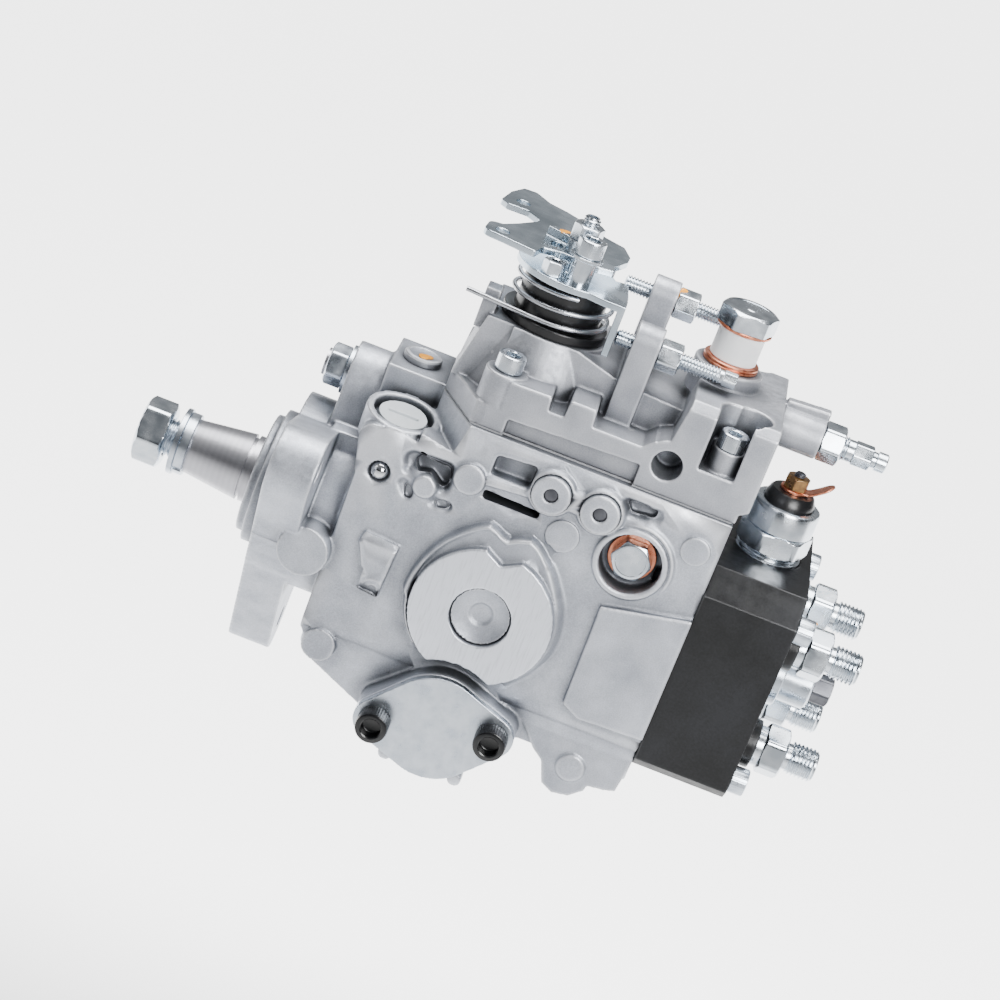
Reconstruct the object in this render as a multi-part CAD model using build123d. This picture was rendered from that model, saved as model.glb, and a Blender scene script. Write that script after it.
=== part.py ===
# Distributor-type diesel injection pump with four outlets.
# Millimetres. The origin is on the drive axis, at the mounting face of the flange.
# +X runs along the pump to the hydraulic head, +Z runs up to the throttle lever.
from build123d import *
import math
import os

os.makedirs("parts", exist_ok=True)

# Clearances
running = 0.04            # radial clearance of a shaft or piston in its bore
slack = 0.3               # free space between parts that must not rub
seat_fit = 0.05           # radial clearance of a screw, plug or pin in its hole

# Drive shaft, along X
cone_end = -12.6          # thick end of the driving cone
cone_length = 20.8
cone_small_r = 10.0
cone_large_r = 12.5
stud_r = 7.0              # M14 thread
groove_depth = 1.3
groove_width = 1.4
shaft_tip_x = -53.0
nut_across_flats = 22.0
nut_length = 10.6
spring_washer_t = 3.7
flat_washer_t = 1.9
washer_r = 12.4
key_width = 4.0
key_radius = 8.0
key_depth = 2.4
pump_seat_r = 10.0        # seat of rotor and gear on the shaft
shaft_core_r = 9.0
claw_start = 74.0
claw_length = 12.0
claw_width = 8.0
claw_reach = 15.0
claw_inner = 5.0

# Mounting flange
pilot_r = 25.0
pilot_length = 5.1
nose_r = 22.0
nose_length = 3.1
flange_t = 16.0
flange_hole_r = 4.4
ear_r = 13.0
ear_places = ((54.0, 150.0), (64.0, 289.0), (50.0, 2.0))   # radius and angle of each ear

# Housing outside
half_width = 37.5
body_start = 27.0
body_bottom = -46.0
joint_z = 60.2            # top face of the housing, under the cover
housing_end = 154.0
neck_r = 34.0
corner_cut = 9.0

# Housing inside
bush_r = 15.0
bush_wall = 2.5
bush_length = 17.0
seal_r = 18.0
seal_length = 5.0
pump_bore_r = 29.5
pump_bore_start = 22.0
main_bore_r = 30.0
pump_ring_width = 16.0
pump_ring_bore = 24.0
pump_ring_offset = 1.4
rotor_r = 22.0
rotor_slots = 4
vane_width = 3.0
vane_proud = 0.4
pump_cover_t = 4.0
well_front = -20.5
well_back = 27.5
gear_well_front = -19.0

# Gears to the governor
module = 1.5
drive_teeth = 37
governor_teeth = 27
gear_width = 7.0
gear_start = 50.6
governor_y = 3.5
backlash = 0.16

# Governor
governor_shaft_r = 4.6
governor_thread_r = 5.0
governor_block_x = 11.0
governor_nut_af = 14.0
governor_nut_t = 7.0
governor_end = 104.0
cage_r = 20.0
cage_end = 73.0
cage_floor = 2.4
weight_in = 9.0
weight_out = 19.0
weight_half_angle = 31.0
weight_toe_r = 8.0
weight_pivot_r = 17.0
weight_pivot_x = 70.5
weight_gap = 2.2          # room behind the weight when it swings out
sleeve_flange_r = 12.0
sleeve_flange_t = 3.0
sleeve_r = 7.2
sleeve_tip_x = 106.0
lever_pivot_x = 112.0
lever_pivot_z = 27.0
lever_t = 3.5
lever_half = 7.0
lever_top = 79.5
lever_ball_r = 2.4
lever_ball_z = 12.0
lever_pin_r = 3.0
lever_pin_half = 19.0
spring_hook_z = 71.5

# Roller ring and timing piston
timer_x = 84.0
timer_z = -47.0
ring_width = 16.0
ring_r = 29.94
ring_bore = 19.0
roller_r = 5.0
roller_top = 93.5
roller_reach = 28.5
piston_r = 14.0
piston_length = 36.0
piston_rest = -20.0       # end face of the piston, towards the front cover
timer_pin_r = 4.0
timer_barrel_r = 19.5
timer_face = 45.3         # both end faces of the timing cylinder
timer_cover_t = 3.0
timer_ear_x = 20.3
timer_ear_z = 5.0
timer_ear_r = 7.8
timer_travel = 6.0

# Cam plate, plunger and spill ring
cam_r = 28.6
cam_t = 5.5
lobe_height = 2.2
lobe_count = 4
yoke_r = 17.0
yoke_t = 6.0
yoke_start = 78.5
plunger_r = 5.5
plunger_end = 172.0
foot_r = 9.0
foot_t = 1.6
bridge_t = 3.0
bridge_half = 27.0
plunger_spring_y = 19.0
plunger_spring_r = 5.4
plunger_wire_r = 1.0
spill_ring_r = 12.0
spill_ring_x = 108.5
spill_ring_w = 8.0

# Hydraulic head
head_end = 188.5
head_half = 38.0
head_bottom = -38.0
head_top = 42.5
head_shoulder = 33.0
head_slope = 8.0
head_chamfer = 4.0
spigot_length = 18.0
head_screw_place = 31.0
outlet_place = 20.3
outlet_end = 216.0
holder_r = 7.4
holder_hex_start = 195.5
holder_hex_length = 8.5
holder_across_flats = 17.0
holder_neck_r = 4.9
holder_neck_length = 2.2
holder_thread_r = 6.0
holder_bore_r = 1.5
valve_r = 3.4
valve_length = 10.0
plug_boss_r = 14.0
plug_boss_t = 3.0
plug_flange_r = 12.0
plug_body_r = 9.5
plug_length = 17.3
vent_across_flats = 10.0
vent_length = 7.2

# Socket head screws, M6
m6_r = 3.0
m6_head_r = 5.0
m6_head_h = 6.0
m6_socket_af = 5.0

# Stop solenoid
solenoid_x = 172.0
solenoid_thread_r = 12.0
solenoid_thread_depth = 9.0
solenoid_hex_start = 44.5
solenoid_hex_af = 24.0
solenoid_hex_h = 8.5
solenoid_can_r = 12.3
solenoid_can_top = 62.5
insulator_r = 9.2
insulator_h = 4.6
terminal_af = 8.0
terminal_top = 74.3
armature_r = 4.5
armature_bottom = 14.0
armature_top = 52.0

# Governor cover
gasket_t = 0.6
cover_left = 45.0
cover_right = 157.5
cover_half = 36.0
cover_band_top = 71.0
tower_top = 92.5
tower_top_r = 20.5
tower_foot_r = 27.5
throttle_x = 72.0
mid_top = 90.0
block_start = 121.5
block_top = 96.5
well_floor = 74.6         # bottom of the notch in front of the right screw
side_bore_x = 125.6
side_bore_z = 71.6
side_bore_r = 5.35
side_bore_depth = 15.0
cover_screw_front = -28.5
cover_screw_back = 31.2
cover_screw_left = 63.5
cover_screw_right = 143.5
cover_screw_grip = 14.0    # depth of the screws in the housing
cover_pillar_r = 7.5
cover_corner = ((45.0, -13.0), (57.5, -35.0))   # ends of the cut corner, in plan
cover_seats = (80.5, 83.0)  # heights of the left and right screw seats
stub_r = 7.4
stub_end = 173.5
stub_z = 88.3

# Throttle lever
throttle_r = 4.0
throttle_stud_r = 3.0
throttle_tip = 133.5
throttle_arm_z = 74.0
throttle_arm_t = 4.0
throttle_arm_r = 9.0
throttle_pin_place = 5.0
throttle_pin_r = 2.0
carrier_flange_r = 19.0
carrier_flange_t = 3.4
carrier_drum_r = 15.4
carrier_top = 110.3
coil_r = 17.7
coil_wire_r = 0.7
lower_plate_z = 111.0
upper_plate_z = 117.0
plate_t = 2.4
lower_plate_r = 20.0
tab_bottom = 94.6
stop_turn = 36.0          # travel of the throttle lever, degrees
stop_gap = 0.1            # left between a stop screw and the lever at its limit
link_hole_r = 2.6

# Stop screws and full-load screw
stop_screw_r = 3.0
idle_y = -16.5
idle_z = 101.8
idle_tip = 93.6
full_y = 12.0
full_z = 112.3
full_tip = 90.0
stop_screw_length = 45.0
post_start = 99.8
post_width = 9.4
post_half = 6.0
lock_nut_af = 10.0
lock_nut_t = 8.0
load_screw_r = 4.5
load_screw_tip = 129.0
load_nut_af = 13.0
load_nut_t = 7.9

# Return fitting
banjo_x = 134.2
banjo_boss_r = 12.5
banjo_boss_top = 102.0
banjo_washer_r = 10.0
banjo_washer_t = 1.2
banjo_sleeve_r = 8.4
banjo_sleeve_h = 11.2
banjo_af = 19.0
banjo_head_h = 6.6
banjo_bolt_r = 5.0

# Inlet, plugs and bosses on the visible side
inlet_x = 35.2
inlet_y = -24.0
inlet_z = 51.0
inlet_boss_r = 13.4
inlet_recess_r = 10.8
inlet_plug_r = 8.7
ball_x = 34.7
ball_z = 32.2
ball_r = 3.4
access_x = 126.6
access_z = 34.1
access_rim_r = 13.2
access_bore_r = 11.0
access_depth = 9.0
access_bolt_af = 13.0
access_bolt_h = 5.0
valve_cap_x = 33.5
valve_cap_y = 5.0
valve_cap_r = 7.0
pad_x = 85.2
pad_z = -2.7
pad_r = 25.6
pad_face = 44.0
pad_pocket_r = 10.9
bracket_boss_r = 6.9
bracket_hole_r = 2.5
bracket_hole_depth = 12.0
bracket_face = 41.5
bracket_places = ((92.7, 48.2), (110.6, 48.1))


def cyl_x(r, x0, x1, y=0.0, z=0.0):
    """Cylinder along X from x0 to x1."""
    return Pos((x0 + x1) / 2, y, z) * Rot(0, 90, 0) * Cylinder(r, x1 - x0)


def cyl_y(r, y0, y1, x=0.0, z=0.0):
    """Cylinder along Y from y0 to y1."""
    return Pos(x, (y0 + y1) / 2, z) * Rot(90, 0, 0) * Cylinder(r, y1 - y0)


def cyl_z(r, z0, z1, x=0.0, y=0.0):
    """Cylinder along Z from z0 to z1."""
    return Pos(x, y, (z0 + z1) / 2) * Cylinder(r, z1 - z0)


def cone_x(r0, r1, x0, x1, y=0.0, z=0.0):
    """Cone along X with radius r0 at x0 and r1 at x1."""
    return Pos((x0 + x1) / 2, y, z) * Rot(0, 90, 0) * Cone(r0, r1, x1 - x0)


def cone_z(r0, r1, z0, z1, x=0.0, y=0.0):
    """Cone along Z with radius r0 at z0 and r1 at z1."""
    return Pos(x, y, (z0 + z1) / 2) * Cone(r0, r1, z1 - z0)


def block(x0, x1, y0, y1, z0, z1):
    """Box between two corners."""
    return Pos((x0 + x1) / 2, (y0 + y1) / 2, (z0 + z1) / 2) * Box(x1 - x0, y1 - y0, z1 - z0)


def prism_x(sketch, x0, x1):
    """Sketch in (y, z), drawn out along X."""
    return extrude(Plane.YZ.offset(x0) * sketch, amount=x1 - x0)


def prism_y(sketch, y0, y1):
    """Sketch in (x, z), drawn out along Y."""
    return extrude(Plane.XZ.offset(-y1) * sketch, amount=y1 - y0)


def prism_z(sketch, z0, z1):
    """Sketch in (x, y), drawn out along Z."""
    return extrude(Plane.XY.offset(z0) * sketch, amount=z1 - z0)


def outline(points, corner=0.0):
    """Closed polygon, drawn counterclockwise, with every corner rounded by the same radius."""
    ahead = points[1:] + points[:1]
    area = sum(a[0] * b[1] - a[1] * b[0] for a, b in zip(points, ahead))
    if area < 0:
        points = points[::-1]
    shape = Polygon(*points, align=None)
    if corner > 0:
        shape = fillet(shape.vertices(), corner)
    return shape


def hexagon(across_flats, turn=0.0):
    """Hexagon by its width across flats."""
    return Rot(0, 0, turn) * RegularPolygon(across_flats / 2, 6, major_radius=False)


def hull_of(circles):
    """Smallest convex outline round some circles, each (u, v, radius)."""
    edges = []
    for u, v, r in circles:
        edges += (Pos(u, v) * Circle(r)).edges()
    return make_hull(edges)


def polar(radius, angle):
    """Place in a plane by radius and angle in degrees."""
    a = math.radians(angle)
    return (radius * math.cos(a), radius * math.sin(a))


def save(name, *shapes):
    """Write the solids of one node."""
    solids = []
    for shape in shapes:
        solids += shape.solids()
    body = solids[0] if len(solids) == 1 else Compound(children=solids)
    export_step(body, os.path.join("parts", name + ".step"))
    return body


def socket_screw(reach, length):
    """M6 socket head screw along +Z: the head stands on z = 0 and the shank goes down."""
    head = cyl_z(m6_head_r, 0, m6_head_h)
    head = head - prism_z(hexagon(m6_socket_af), m6_head_h - reach, m6_head_h)
    return head + cyl_z(m6_r, -length, 0)


def coil_spring(radius, wire, height, turns):
    """Round wire helix along +Z from z = 0."""
    path = Helix(pitch=height / turns, height=height, radius=radius)
    start = Plane(origin=path @ 0, z_dir=path % 0)
    return sweep(start * Circle(wire), path=path, is_frenet=True)


# Places that follow from the sizes above
cone_start = cone_end - cone_length
plug_end = head_end + plug_length
spring_washer_start = cone_start - spring_washer_t
flat_washer_start = spring_washer_start - flat_washer_t
bush_front = -pilot_length - nose_length + seal_length
journal_r = bush_r - bush_wall - running
centre_distance = module * (drive_teeth + governor_teeth) / 2
governor_z = math.sqrt(centre_distance ** 2 - governor_y ** 2)
governor_angle = math.degrees(math.atan2(governor_z, governor_y))
gear_end = gear_start + gear_width
rotor_start = pump_bore_start + 0.1
rotor_end = rotor_start + pump_ring_width - 0.2
pump_cover_start = pump_bore_start + pump_ring_width
ring_start = timer_x - ring_width / 2
roller_x = roller_top - roller_r
lobe_top = roller_top + 0.1
cam_face = lobe_top + lobe_height
cam_back = cam_face + cam_t
foot_end = cam_back + foot_t
bridge_start = foot_end + 0.1
bridge_end = bridge_start + bridge_t
head_inner = housing_end - spigot_length
cover_bottom = joint_z + gasket_t
throttle_boss_bottom = throttle_arm_z + throttle_arm_t + slack
idle_gap = 0.2
quadrants = (1, 1), (-1, 1), (-1, -1), (1, -1)
well_start = gear_start - 0.8
cage_start = gear_end + 0.4
cavity_end = block_start + 4.5
valve_bottom = governor_z + governor_thread_r + 2.0
inlet_frame = Pos(inlet_x, inlet_y, inlet_z) * Rot(8, 0, 0)
link_holes = (44.6, -6.9), (46.6, 34.3)


def drive_shaft():
    """Tapered end, journal, seat for rotor and gear, and two claws at the inner end."""
    tip = cyl_x(stud_r, shaft_tip_x, cone_start)
    cone = cone_x(cone_small_r, cone_large_r, cone_start, cone_end)
    groove = cyl_x(cone_large_r - groove_depth, cone_end, cone_end + groove_width)
    journal = cyl_x(journal_r, cone_end + groove_width, pump_bore_start - slack)
    seat = cyl_x(pump_seat_r, pump_bore_start - slack, gear_end)
    core = cyl_x(shaft_core_r, gear_end, claw_start)
    shaft = tip + cone + groove + journal + seat + core
    for side in (1, -1):
        inner, outer = sorted((side * claw_inner, side * claw_reach))
        arm = block(claw_start, claw_start + claw_length, -claw_width / 2, claw_width / 2, inner, outer)
        shaft += arm & cyl_x(claw_reach, claw_start, claw_start + claw_length)
    shaft += cyl_x(claw_reach, claw_start - 4.0, claw_start)
    key_y = (cone_small_r + cone_large_r) / 2 - key_depth
    slot = cyl_z(key_radius, -key_width / 2, key_width / 2, (cone_start + cone_end) / 2, key_y + key_depth)
    return shaft - slot


def shaft_key():
    """Half-moon key in the cone, on the side turned away from the outlets' terminal."""
    middle = (cone_start + cone_end) / 2
    seat_y = (cone_small_r + cone_large_r) / 2
    disc = cyl_z(key_radius - seat_fit, -key_width / 2 + seat_fit, key_width / 2 - seat_fit, middle, seat_y)
    return disc - block(middle - 20, middle + 20, seat_y + key_depth, seat_y + 20, -5, 5)


def shaft_nut():
    """Hexagon nut on the threaded tip, with bevelled corners."""
    nut = prism_x(hexagon(nut_across_flats), shaft_tip_x, shaft_tip_x + nut_length)
    corner = nut_across_flats / math.sqrt(3)
    round_off = cone_x(corner - 1.2, corner + 4.6, shaft_tip_x, shaft_tip_x + nut_length)
    return (nut & round_off) - cyl_x(stud_r + seat_fit, shaft_tip_x - 1, shaft_tip_x + nut_length + 1)


def shaft_washers():
    """Flat washer and split spring washer between nut and cone."""
    flat = cyl_x(washer_r, flat_washer_start, spring_washer_start)
    flat -= cyl_x(stud_r + seat_fit, flat_washer_start - 1, spring_washer_start + 1)
    split = cyl_x(washer_r - 0.8, spring_washer_start, cone_start)
    split -= cyl_x(stud_r + seat_fit, spring_washer_start - 1, cone_start + 1)
    cut = Pos((spring_washer_start + cone_start) / 2, -washer_r * 0.8, -washer_r * 0.6)
    return flat, split - cut * Rot(0, 30, 0) * Box(1.2, washer_r, washer_r)


def shaft_bush():
    """Plain bearing of the drive shaft."""
    tube = cyl_x(bush_r, bush_front, bush_front + bush_length)
    return tube - cyl_x(bush_r - bush_wall, bush_front - 1, bush_front + bush_length + 1)


def seals():
    """Shaft seal in the nose and O-rings of head and timing covers."""
    start = -pilot_length - nose_length
    lip = cyl_x(seal_r - seat_fit, start + 0.6, start + seal_length - 0.1)
    lip -= cyl_x(journal_r + running, start - 1, start + seal_length + 1)
    groove = housing_end - 5.0
    head_ring = cyl_x(main_bore_r - 0.1, groove, groove + 2.4)
    head_ring -= cyl_x(main_bore_r - 2.2, groove - 1, groove + 4)
    rings = [lip, head_ring]
    for side in (1, -1):
        near, far = sorted((side * (timer_face - 1.9), side * (timer_face - 0.05)))
        ring = cyl_y(piston_r + 2.6, near, far, timer_x, timer_z)
        rings.append(ring - cyl_y(piston_r + 0.6, near - 1, far + 1, timer_x, timer_z))
    return rings


def pump_ring():
    """Ring of the vane feed pump, with its bore off centre."""
    ring = cyl_x(pump_bore_r - seat_fit, pump_bore_start, pump_cover_start)
    return ring - cyl_x(pump_ring_bore, pump_bore_start - 1, pump_cover_start + 1, 0, -pump_ring_offset)


def vane_rotor():
    """Slotted rotor of the feed pump with its vanes."""
    rotor = cyl_x(rotor_r - vane_proud, rotor_start, rotor_end)
    for k in range(rotor_slots):
        vane = block(rotor_start, rotor_end, -vane_width / 2, vane_width / 2, rotor_r * 0.5, rotor_r)
        rotor += Rot(45 + 90 * k, 0, 0) * vane
    return rotor - cyl_x(pump_seat_r, rotor_start - 1, rotor_end + 1)


def pump_cover():
    """Plate that closes the feed pump."""
    plate = cyl_x(pump_bore_r - seat_fit, pump_cover_start, pump_cover_start + pump_cover_t)
    plate -= cyl_x(pump_seat_r + slack, pump_cover_start - 1, pump_cover_start + pump_cover_t + 1)
    for side in (1, -1):
        screw = cyl_x(2.1, pump_cover_start + pump_cover_t / 2, pump_cover_start + pump_cover_t + 1, side * 26)
        plate -= screw
    return plate


def gear_outline(teeth, first_tooth):
    """Spur gear outline with 20 degree involute flanks. first_tooth is the angle of one tooth."""
    pitch_r = module * teeth / 2
    base_r = pitch_r * math.cos(math.radians(20))
    root_r = pitch_r - 1.25 * module
    tip_r = pitch_r + module
    half_pitch = (math.pi * module / 2 - backlash) / 2 / pitch_r
    involute = math.tan(math.radians(20)) - math.radians(20)

    def half_angle(r):
        pressure = math.acos(min(1.0, base_r / r))
        return half_pitch + involute - (math.tan(pressure) - pressure)

    stations = (root_r, max(root_r + 0.01, base_r), pitch_r, (pitch_r + tip_r) / 2, tip_r)
    points = []
    for k in range(teeth):
        middle = math.radians(first_tooth + 360.0 * k / teeth)
        for r in stations:
            a = middle - half_angle(max(r, base_r))
            points.append((r * math.cos(a), r * math.sin(a)))
        for r in reversed(stations):
            a = middle + half_angle(max(r, base_r))
            points.append((r * math.cos(a), r * math.sin(a)))
    return outline(points)


def drive_gear():
    """Gear on the drive shaft that turns the governor."""
    gear = prism_x(gear_outline(drive_teeth, governor_angle), gear_start, gear_end)
    for k in range(4):
        y, z = polar((pump_seat_r + module * drive_teeth / 2) / 2 + 0.5, 45 + 90 * k)
        gear -= cyl_x(3.2, gear_start - 1, gear_end + 1, y, z)
    return gear - cyl_x(pump_seat_r, gear_start - 1, gear_end + 1)


def cross_disc():
    """Loose disc whose slots take the claws of the shaft and of the cam plate."""
    disc = cyl_x(yoke_r, yoke_start, yoke_start + yoke_t)
    half = claw_width / 2 + seat_fit
    for turn in (0, 90, 180, 270):
        disc -= Rot(turn, 0, 0) * block(yoke_start - 1, yoke_start + yoke_t + 1, -half, half, claw_inner - 0.1, yoke_r + 1)
    return disc


def cam_plate():
    """Disc with face cams on its front, two claws in front and a hub behind."""
    plate = cyl_x(cam_r, cam_face, cam_back)
    rim = cyl_x(cam_r, lobe_top - 1, cam_face) - cyl_x(ring_bore, lobe_top - 2, cam_face + 1)
    ramp = Plane.XY.offset(ring_bore * 0.8) * outline(
        [(cam_face, -9.0), (lobe_top, -3.0), (lobe_top, 3.0), (cam_face, 9.0)])
    for k in range(lobe_count):
        lobe = Rot(45 + 360 / lobe_count * k, 0, 0) * extrude(ramp, amount=cam_r - ring_bore * 0.8 + 1)
        plate += lobe & rim
    for side in (1, -1):
        inner, outer = sorted((side * claw_inner, side * claw_reach))
        arm = block(yoke_start + 0.5, cam_face, inner, outer, -claw_width / 2, claw_width / 2)
        plate += arm & cyl_x(claw_reach, yoke_start, cam_face)
    return plate


def plunger():
    """Pumping and distributing plunger with its foot."""
    body = cyl_x(plunger_r, foot_end, plunger_end) + cyl_x(foot_r, cam_back, foot_end)
    groove = plunger_end - 12.0
    body -= cyl_x(plunger_r + 1, groove, groove + 2.0) - cyl_x(plunger_r - 1.0, groove - 1, groove + 3)
    return body - block(plunger_end - 8, plunger_end + 1, -1.0, 1.0, plunger_r - 1.2, plunger_r + 1)


def plunger_return():
    """Bridge on the plunger's foot and the two return springs."""
    plate = block(bridge_start, bridge_end, -bridge_half, bridge_half, -8, 8)
    plate = plate & cyl_x(bridge_half, bridge_start - 1, bridge_end + 1)
    plate -= cyl_x(plunger_r + slack, bridge_start - 1, bridge_end + 1)
    parts = [plate]
    free = head_inner - bridge_end
    for side in (1, -1):
        coil = coil_spring(plunger_spring_r, plunger_wire_r, free - 2 * plunger_wire_r - 0.4, 6)
        place = Pos(bridge_end + plunger_wire_r + 0.2, side * plunger_spring_y, 0) * Rot(0, 90, 0)
        parts.append(place * coil)
    return parts


def spill_ring():
    """Control sleeve on the plunger, with a hole for the lever's ball."""
    ring = cyl_x(spill_ring_r, spill_ring_x, spill_ring_x + spill_ring_w)
    ring -= cyl_x(plunger_r + running, spill_ring_x - 1, spill_ring_x + spill_ring_w + 1)
    return ring - cyl_z(lever_ball_r + 0.15, lever_ball_z - lever_ball_r - 0.5, spill_ring_r + 2, lever_pivot_x)


def roller_ring():
    """Ring on the pump's axis that carries four rollers."""
    ring = cyl_x(ring_r, ring_start, roller_top - 2.5)
    ring -= cyl_x(ring_bore, ring_start - 1, roller_top)
    ring -= cyl_z(timer_pin_r + seat_fit, -ring_r - 1, -ring_bore - 3, timer_x)
    rollers = []
    for k in range(lobe_count):
        turn = Rot(45 + 360 / lobe_count * k, 0, 0)
        pocket = cyl_z(roller_r + 0.1, ring_bore - 1, roller_reach + 0.1, roller_x)
        mouth = block(roller_x, roller_top, -roller_r - 0.1, roller_r + 0.1, ring_bore - 1, roller_reach + 0.1)
        ring -= turn * (pocket + mouth)
        rollers.append(turn * cyl_z(roller_r, ring_bore + 1, roller_reach, roller_x))
    return [ring] + rollers


def timer_pin():
    """Pin from the roller ring into the timing piston."""
    return cyl_z(timer_pin_r, timer_z - 3.0, -ring_bore - 3.3, timer_x)


def timer_piston():
    """Piston of the injection advance, with a slot for the pin and a pocket for the spring."""
    end = piston_rest + piston_length
    piston = cyl_y(piston_r - running, piston_rest, end, timer_x, timer_z)
    half = timer_pin_r + 0.1
    piston -= block(timer_x - half, timer_x + half, -half - 2.0, half + 0.5, timer_z - 5.0, timer_z + 20)
    piston -= cyl_y(piston_r - 3.5, end - 9.0, end + 1, timer_x, timer_z)
    return piston - cyl_y(piston_r - 5.0, piston_rest - 1, piston_rest + 8.0, timer_x, timer_z)


def timer_spring():
    """Spring that pushes the timing piston back."""
    start = piston_rest + piston_length - 9.0 + timer_travel + 1.6
    coil = coil_spring(8.4, 1.1, timer_face - start - 1.3, 5)
    return Pos(timer_x, start, timer_z) * Rot(-90, 0, 0) * coil


def timer_plate_outline(grow=0.0):
    """Oval cover outline with an ear on each side, in (x, z)."""
    return hull_of([
        (timer_x, timer_z, timer_barrel_r + grow),
        (timer_x - timer_ear_x, timer_z - timer_ear_z, timer_ear_r + grow),
        (timer_x + timer_ear_x, timer_z + timer_ear_z, timer_ear_r + grow)])


def timer_screw_places():
    """Centres of the two cover screws, in (x, z)."""
    for side in (-1, 1):
        yield timer_x + side * timer_ear_x, timer_z + side * timer_ear_z


def timer_covers():
    """Front and back plates of the timing cylinder."""
    plates = []
    for near in (-timer_face - timer_cover_t, timer_face):
        plate = prism_y(timer_plate_outline(), near, near + timer_cover_t)
        for x, z in timer_screw_places():
            plate -= cyl_y(m6_r + seat_fit, near - 1, near + timer_cover_t + 1, x, z)
        plates.append(plate)
    return plates


def timer_screws():
    """Four cover screws. The two in front wear closed caps."""
    screws = []
    for x, z in timer_screw_places():
        front = Pos(x, -timer_face - timer_cover_t, z) * Rot(90, 0, 0)
        cap = cyl_z(m6_head_r + 0.9, 0, m6_head_h + 1.4) - cyl_z(3.6, 2.6, m6_head_h + 2)
        screws.append(front * (cap + cyl_z(m6_r, -14, 0)))
        back = Pos(x, timer_face + timer_cover_t, z) * Rot(-90, 0, 0)
        screws.append(back * socket_screw(3.0, 14))
    return screws


def governor_shaft():
    """Fixed axle of the governor, screwed into the front wall."""
    thread_end = well_start - 4
    shaft = cyl_x(governor_thread_r, governor_block_x - governor_nut_t - 2.5, thread_end, governor_y, governor_z)
    return shaft + cyl_x(governor_shaft_r, thread_end, governor_end, governor_y, governor_z)


def governor_shaft_nut():
    """Lock nut of the governor axle."""
    start = governor_block_x - governor_nut_t - 1.4
    nut = Pos(0, governor_y, governor_z) * prism_x(hexagon(governor_nut_af, 12), start, start + governor_nut_t)
    nut += cyl_x(governor_nut_af / 2 + 2.0, start + governor_nut_t, governor_block_x, governor_y, governor_z)
    return nut - cyl_x(governor_thread_r + seat_fit, start - 1, governor_block_x + 1, governor_y, governor_z)


def sector(inner, outer, half_angle, x0, x1):
    """Piece of a tube round X, centred on the +Z direction."""
    tube = cyl_x(outer, x0, x1) - cyl_x(inner, x0 - 1, x1 + 1)
    reach = outer * 2
    a = math.radians(half_angle)
    wedge = outline([(0, 0), (-reach * math.sin(a), reach * math.cos(a)), (reach * math.sin(a), reach * math.cos(a))])
    return tube & prism_x(wedge, x0 - 1, x1 + 1)


def governor_cage():
    """Cage that carries the four flyweights, with its driven gear."""
    cage = prism_x(gear_outline(governor_teeth, governor_angle + 180 + 180 / governor_teeth), gear_start, gear_end)
    cage = Pos(0, 0, 0) * cage
    cage += cyl_x(cage_r, gear_end, gear_end + cage_floor)
    for k in range(4):
        post = sector(weight_in, cage_r, 45 - weight_half_angle - 2.5, gear_end + cage_floor, cage_end)
        cage += Rot(45 + 90 * k, 0, 0) * post
    cage -= cyl_x(governor_shaft_r + running, gear_start - 1, cage_end + 1)
    return Pos(0, governor_y, governor_z) * cage


def flyweight(number):
    """One of four weights, pinned at the open end of the cage, with a toe on the sleeve."""
    floor = gear_end + cage_floor
    body = sector(weight_in + 2, weight_out, weight_half_angle, floor + weight_gap, weight_pivot_x + 1.5)
    toe = block(weight_pivot_x - 1.5, cage_end - 0.2, -3.0, 3.0, weight_toe_r, weight_pivot_r)
    return Pos(0, governor_y, governor_z) * Rot(90 * (number - 1), 0, 0) * (body + toe)


def governor_sleeve():
    """Sleeve on the governor axle that the weights push along."""
    flange = cyl_x(sleeve_flange_r, cage_end, cage_end + sleeve_flange_t)
    sleeve = flange + cyl_x(sleeve_r, cage_end, governor_end + slack)
    sleeve -= cyl_x(governor_shaft_r + running, cage_end - 1, governor_end + slack + 1)
    cap = cyl_x(sleeve_r, governor_end + slack, sleeve_tip_x)
    return Pos(0, governor_y, governor_z) * (sleeve + cap)


def governor_lever():
    """Upright lever between sleeve, governor spring and spill ring."""
    left = lever_pivot_x - lever_t
    arm = prism_y(outline([(left, lever_ball_z + 1), (lever_pivot_x, lever_ball_z + 1),
                           (lever_pivot_x, lever_top), (left, lever_top)]), -lever_half, lever_half)
    arm += cyl_y(lever_pin_r + 2.5, -lever_half, lever_half, lever_pivot_x, lever_pivot_z)
    arm -= block(left - 6, lever_pivot_x + 6, -lever_half - 1, -2.0, 0, lever_pivot_z - 6)
    arm -= block(left - 6, lever_pivot_x + 6, 2.0, lever_half + 1, 0, lever_pivot_z - 6)
    arm -= block(left - 1, lever_pivot_x + 1, -3.0, 3.0, governor_z + 6, spring_hook_z - 6)
    arm += Pos(sleeve_tip_x + 3.1, governor_y, governor_z) * Sphere(3.0)
    arm += cyl_y(lever_pin_r, -lever_pin_half, lever_pin_half, lever_pivot_x, lever_pivot_z)
    arm += cyl_z(1.6, lever_ball_z, lever_pivot_z - 4, lever_pivot_x - 0.4)
    return arm + Pos(lever_pivot_x, 0, lever_ball_z) * Sphere(lever_ball_r)


def governor_spring():
    """Spring between lever and throttle shaft."""
    end = lever_pivot_x - lever_t
    start = throttle_x + throttle_arm_r + 1.0
    coil = coil_spring(4.0, 0.7, end - start - 1.4, 7)
    coil = Pos(start + 0.7, 0, spring_hook_z) * Rot(0, 90, 0) * coil
    return coil


def plate_screw_holes(plate, places, bottom, top):
    """Clearance holes for M6 screws along Z."""
    for x, y in places:
        plate -= cyl_z(m6_r + seat_fit, bottom, top, x, y)
    return plate


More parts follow.
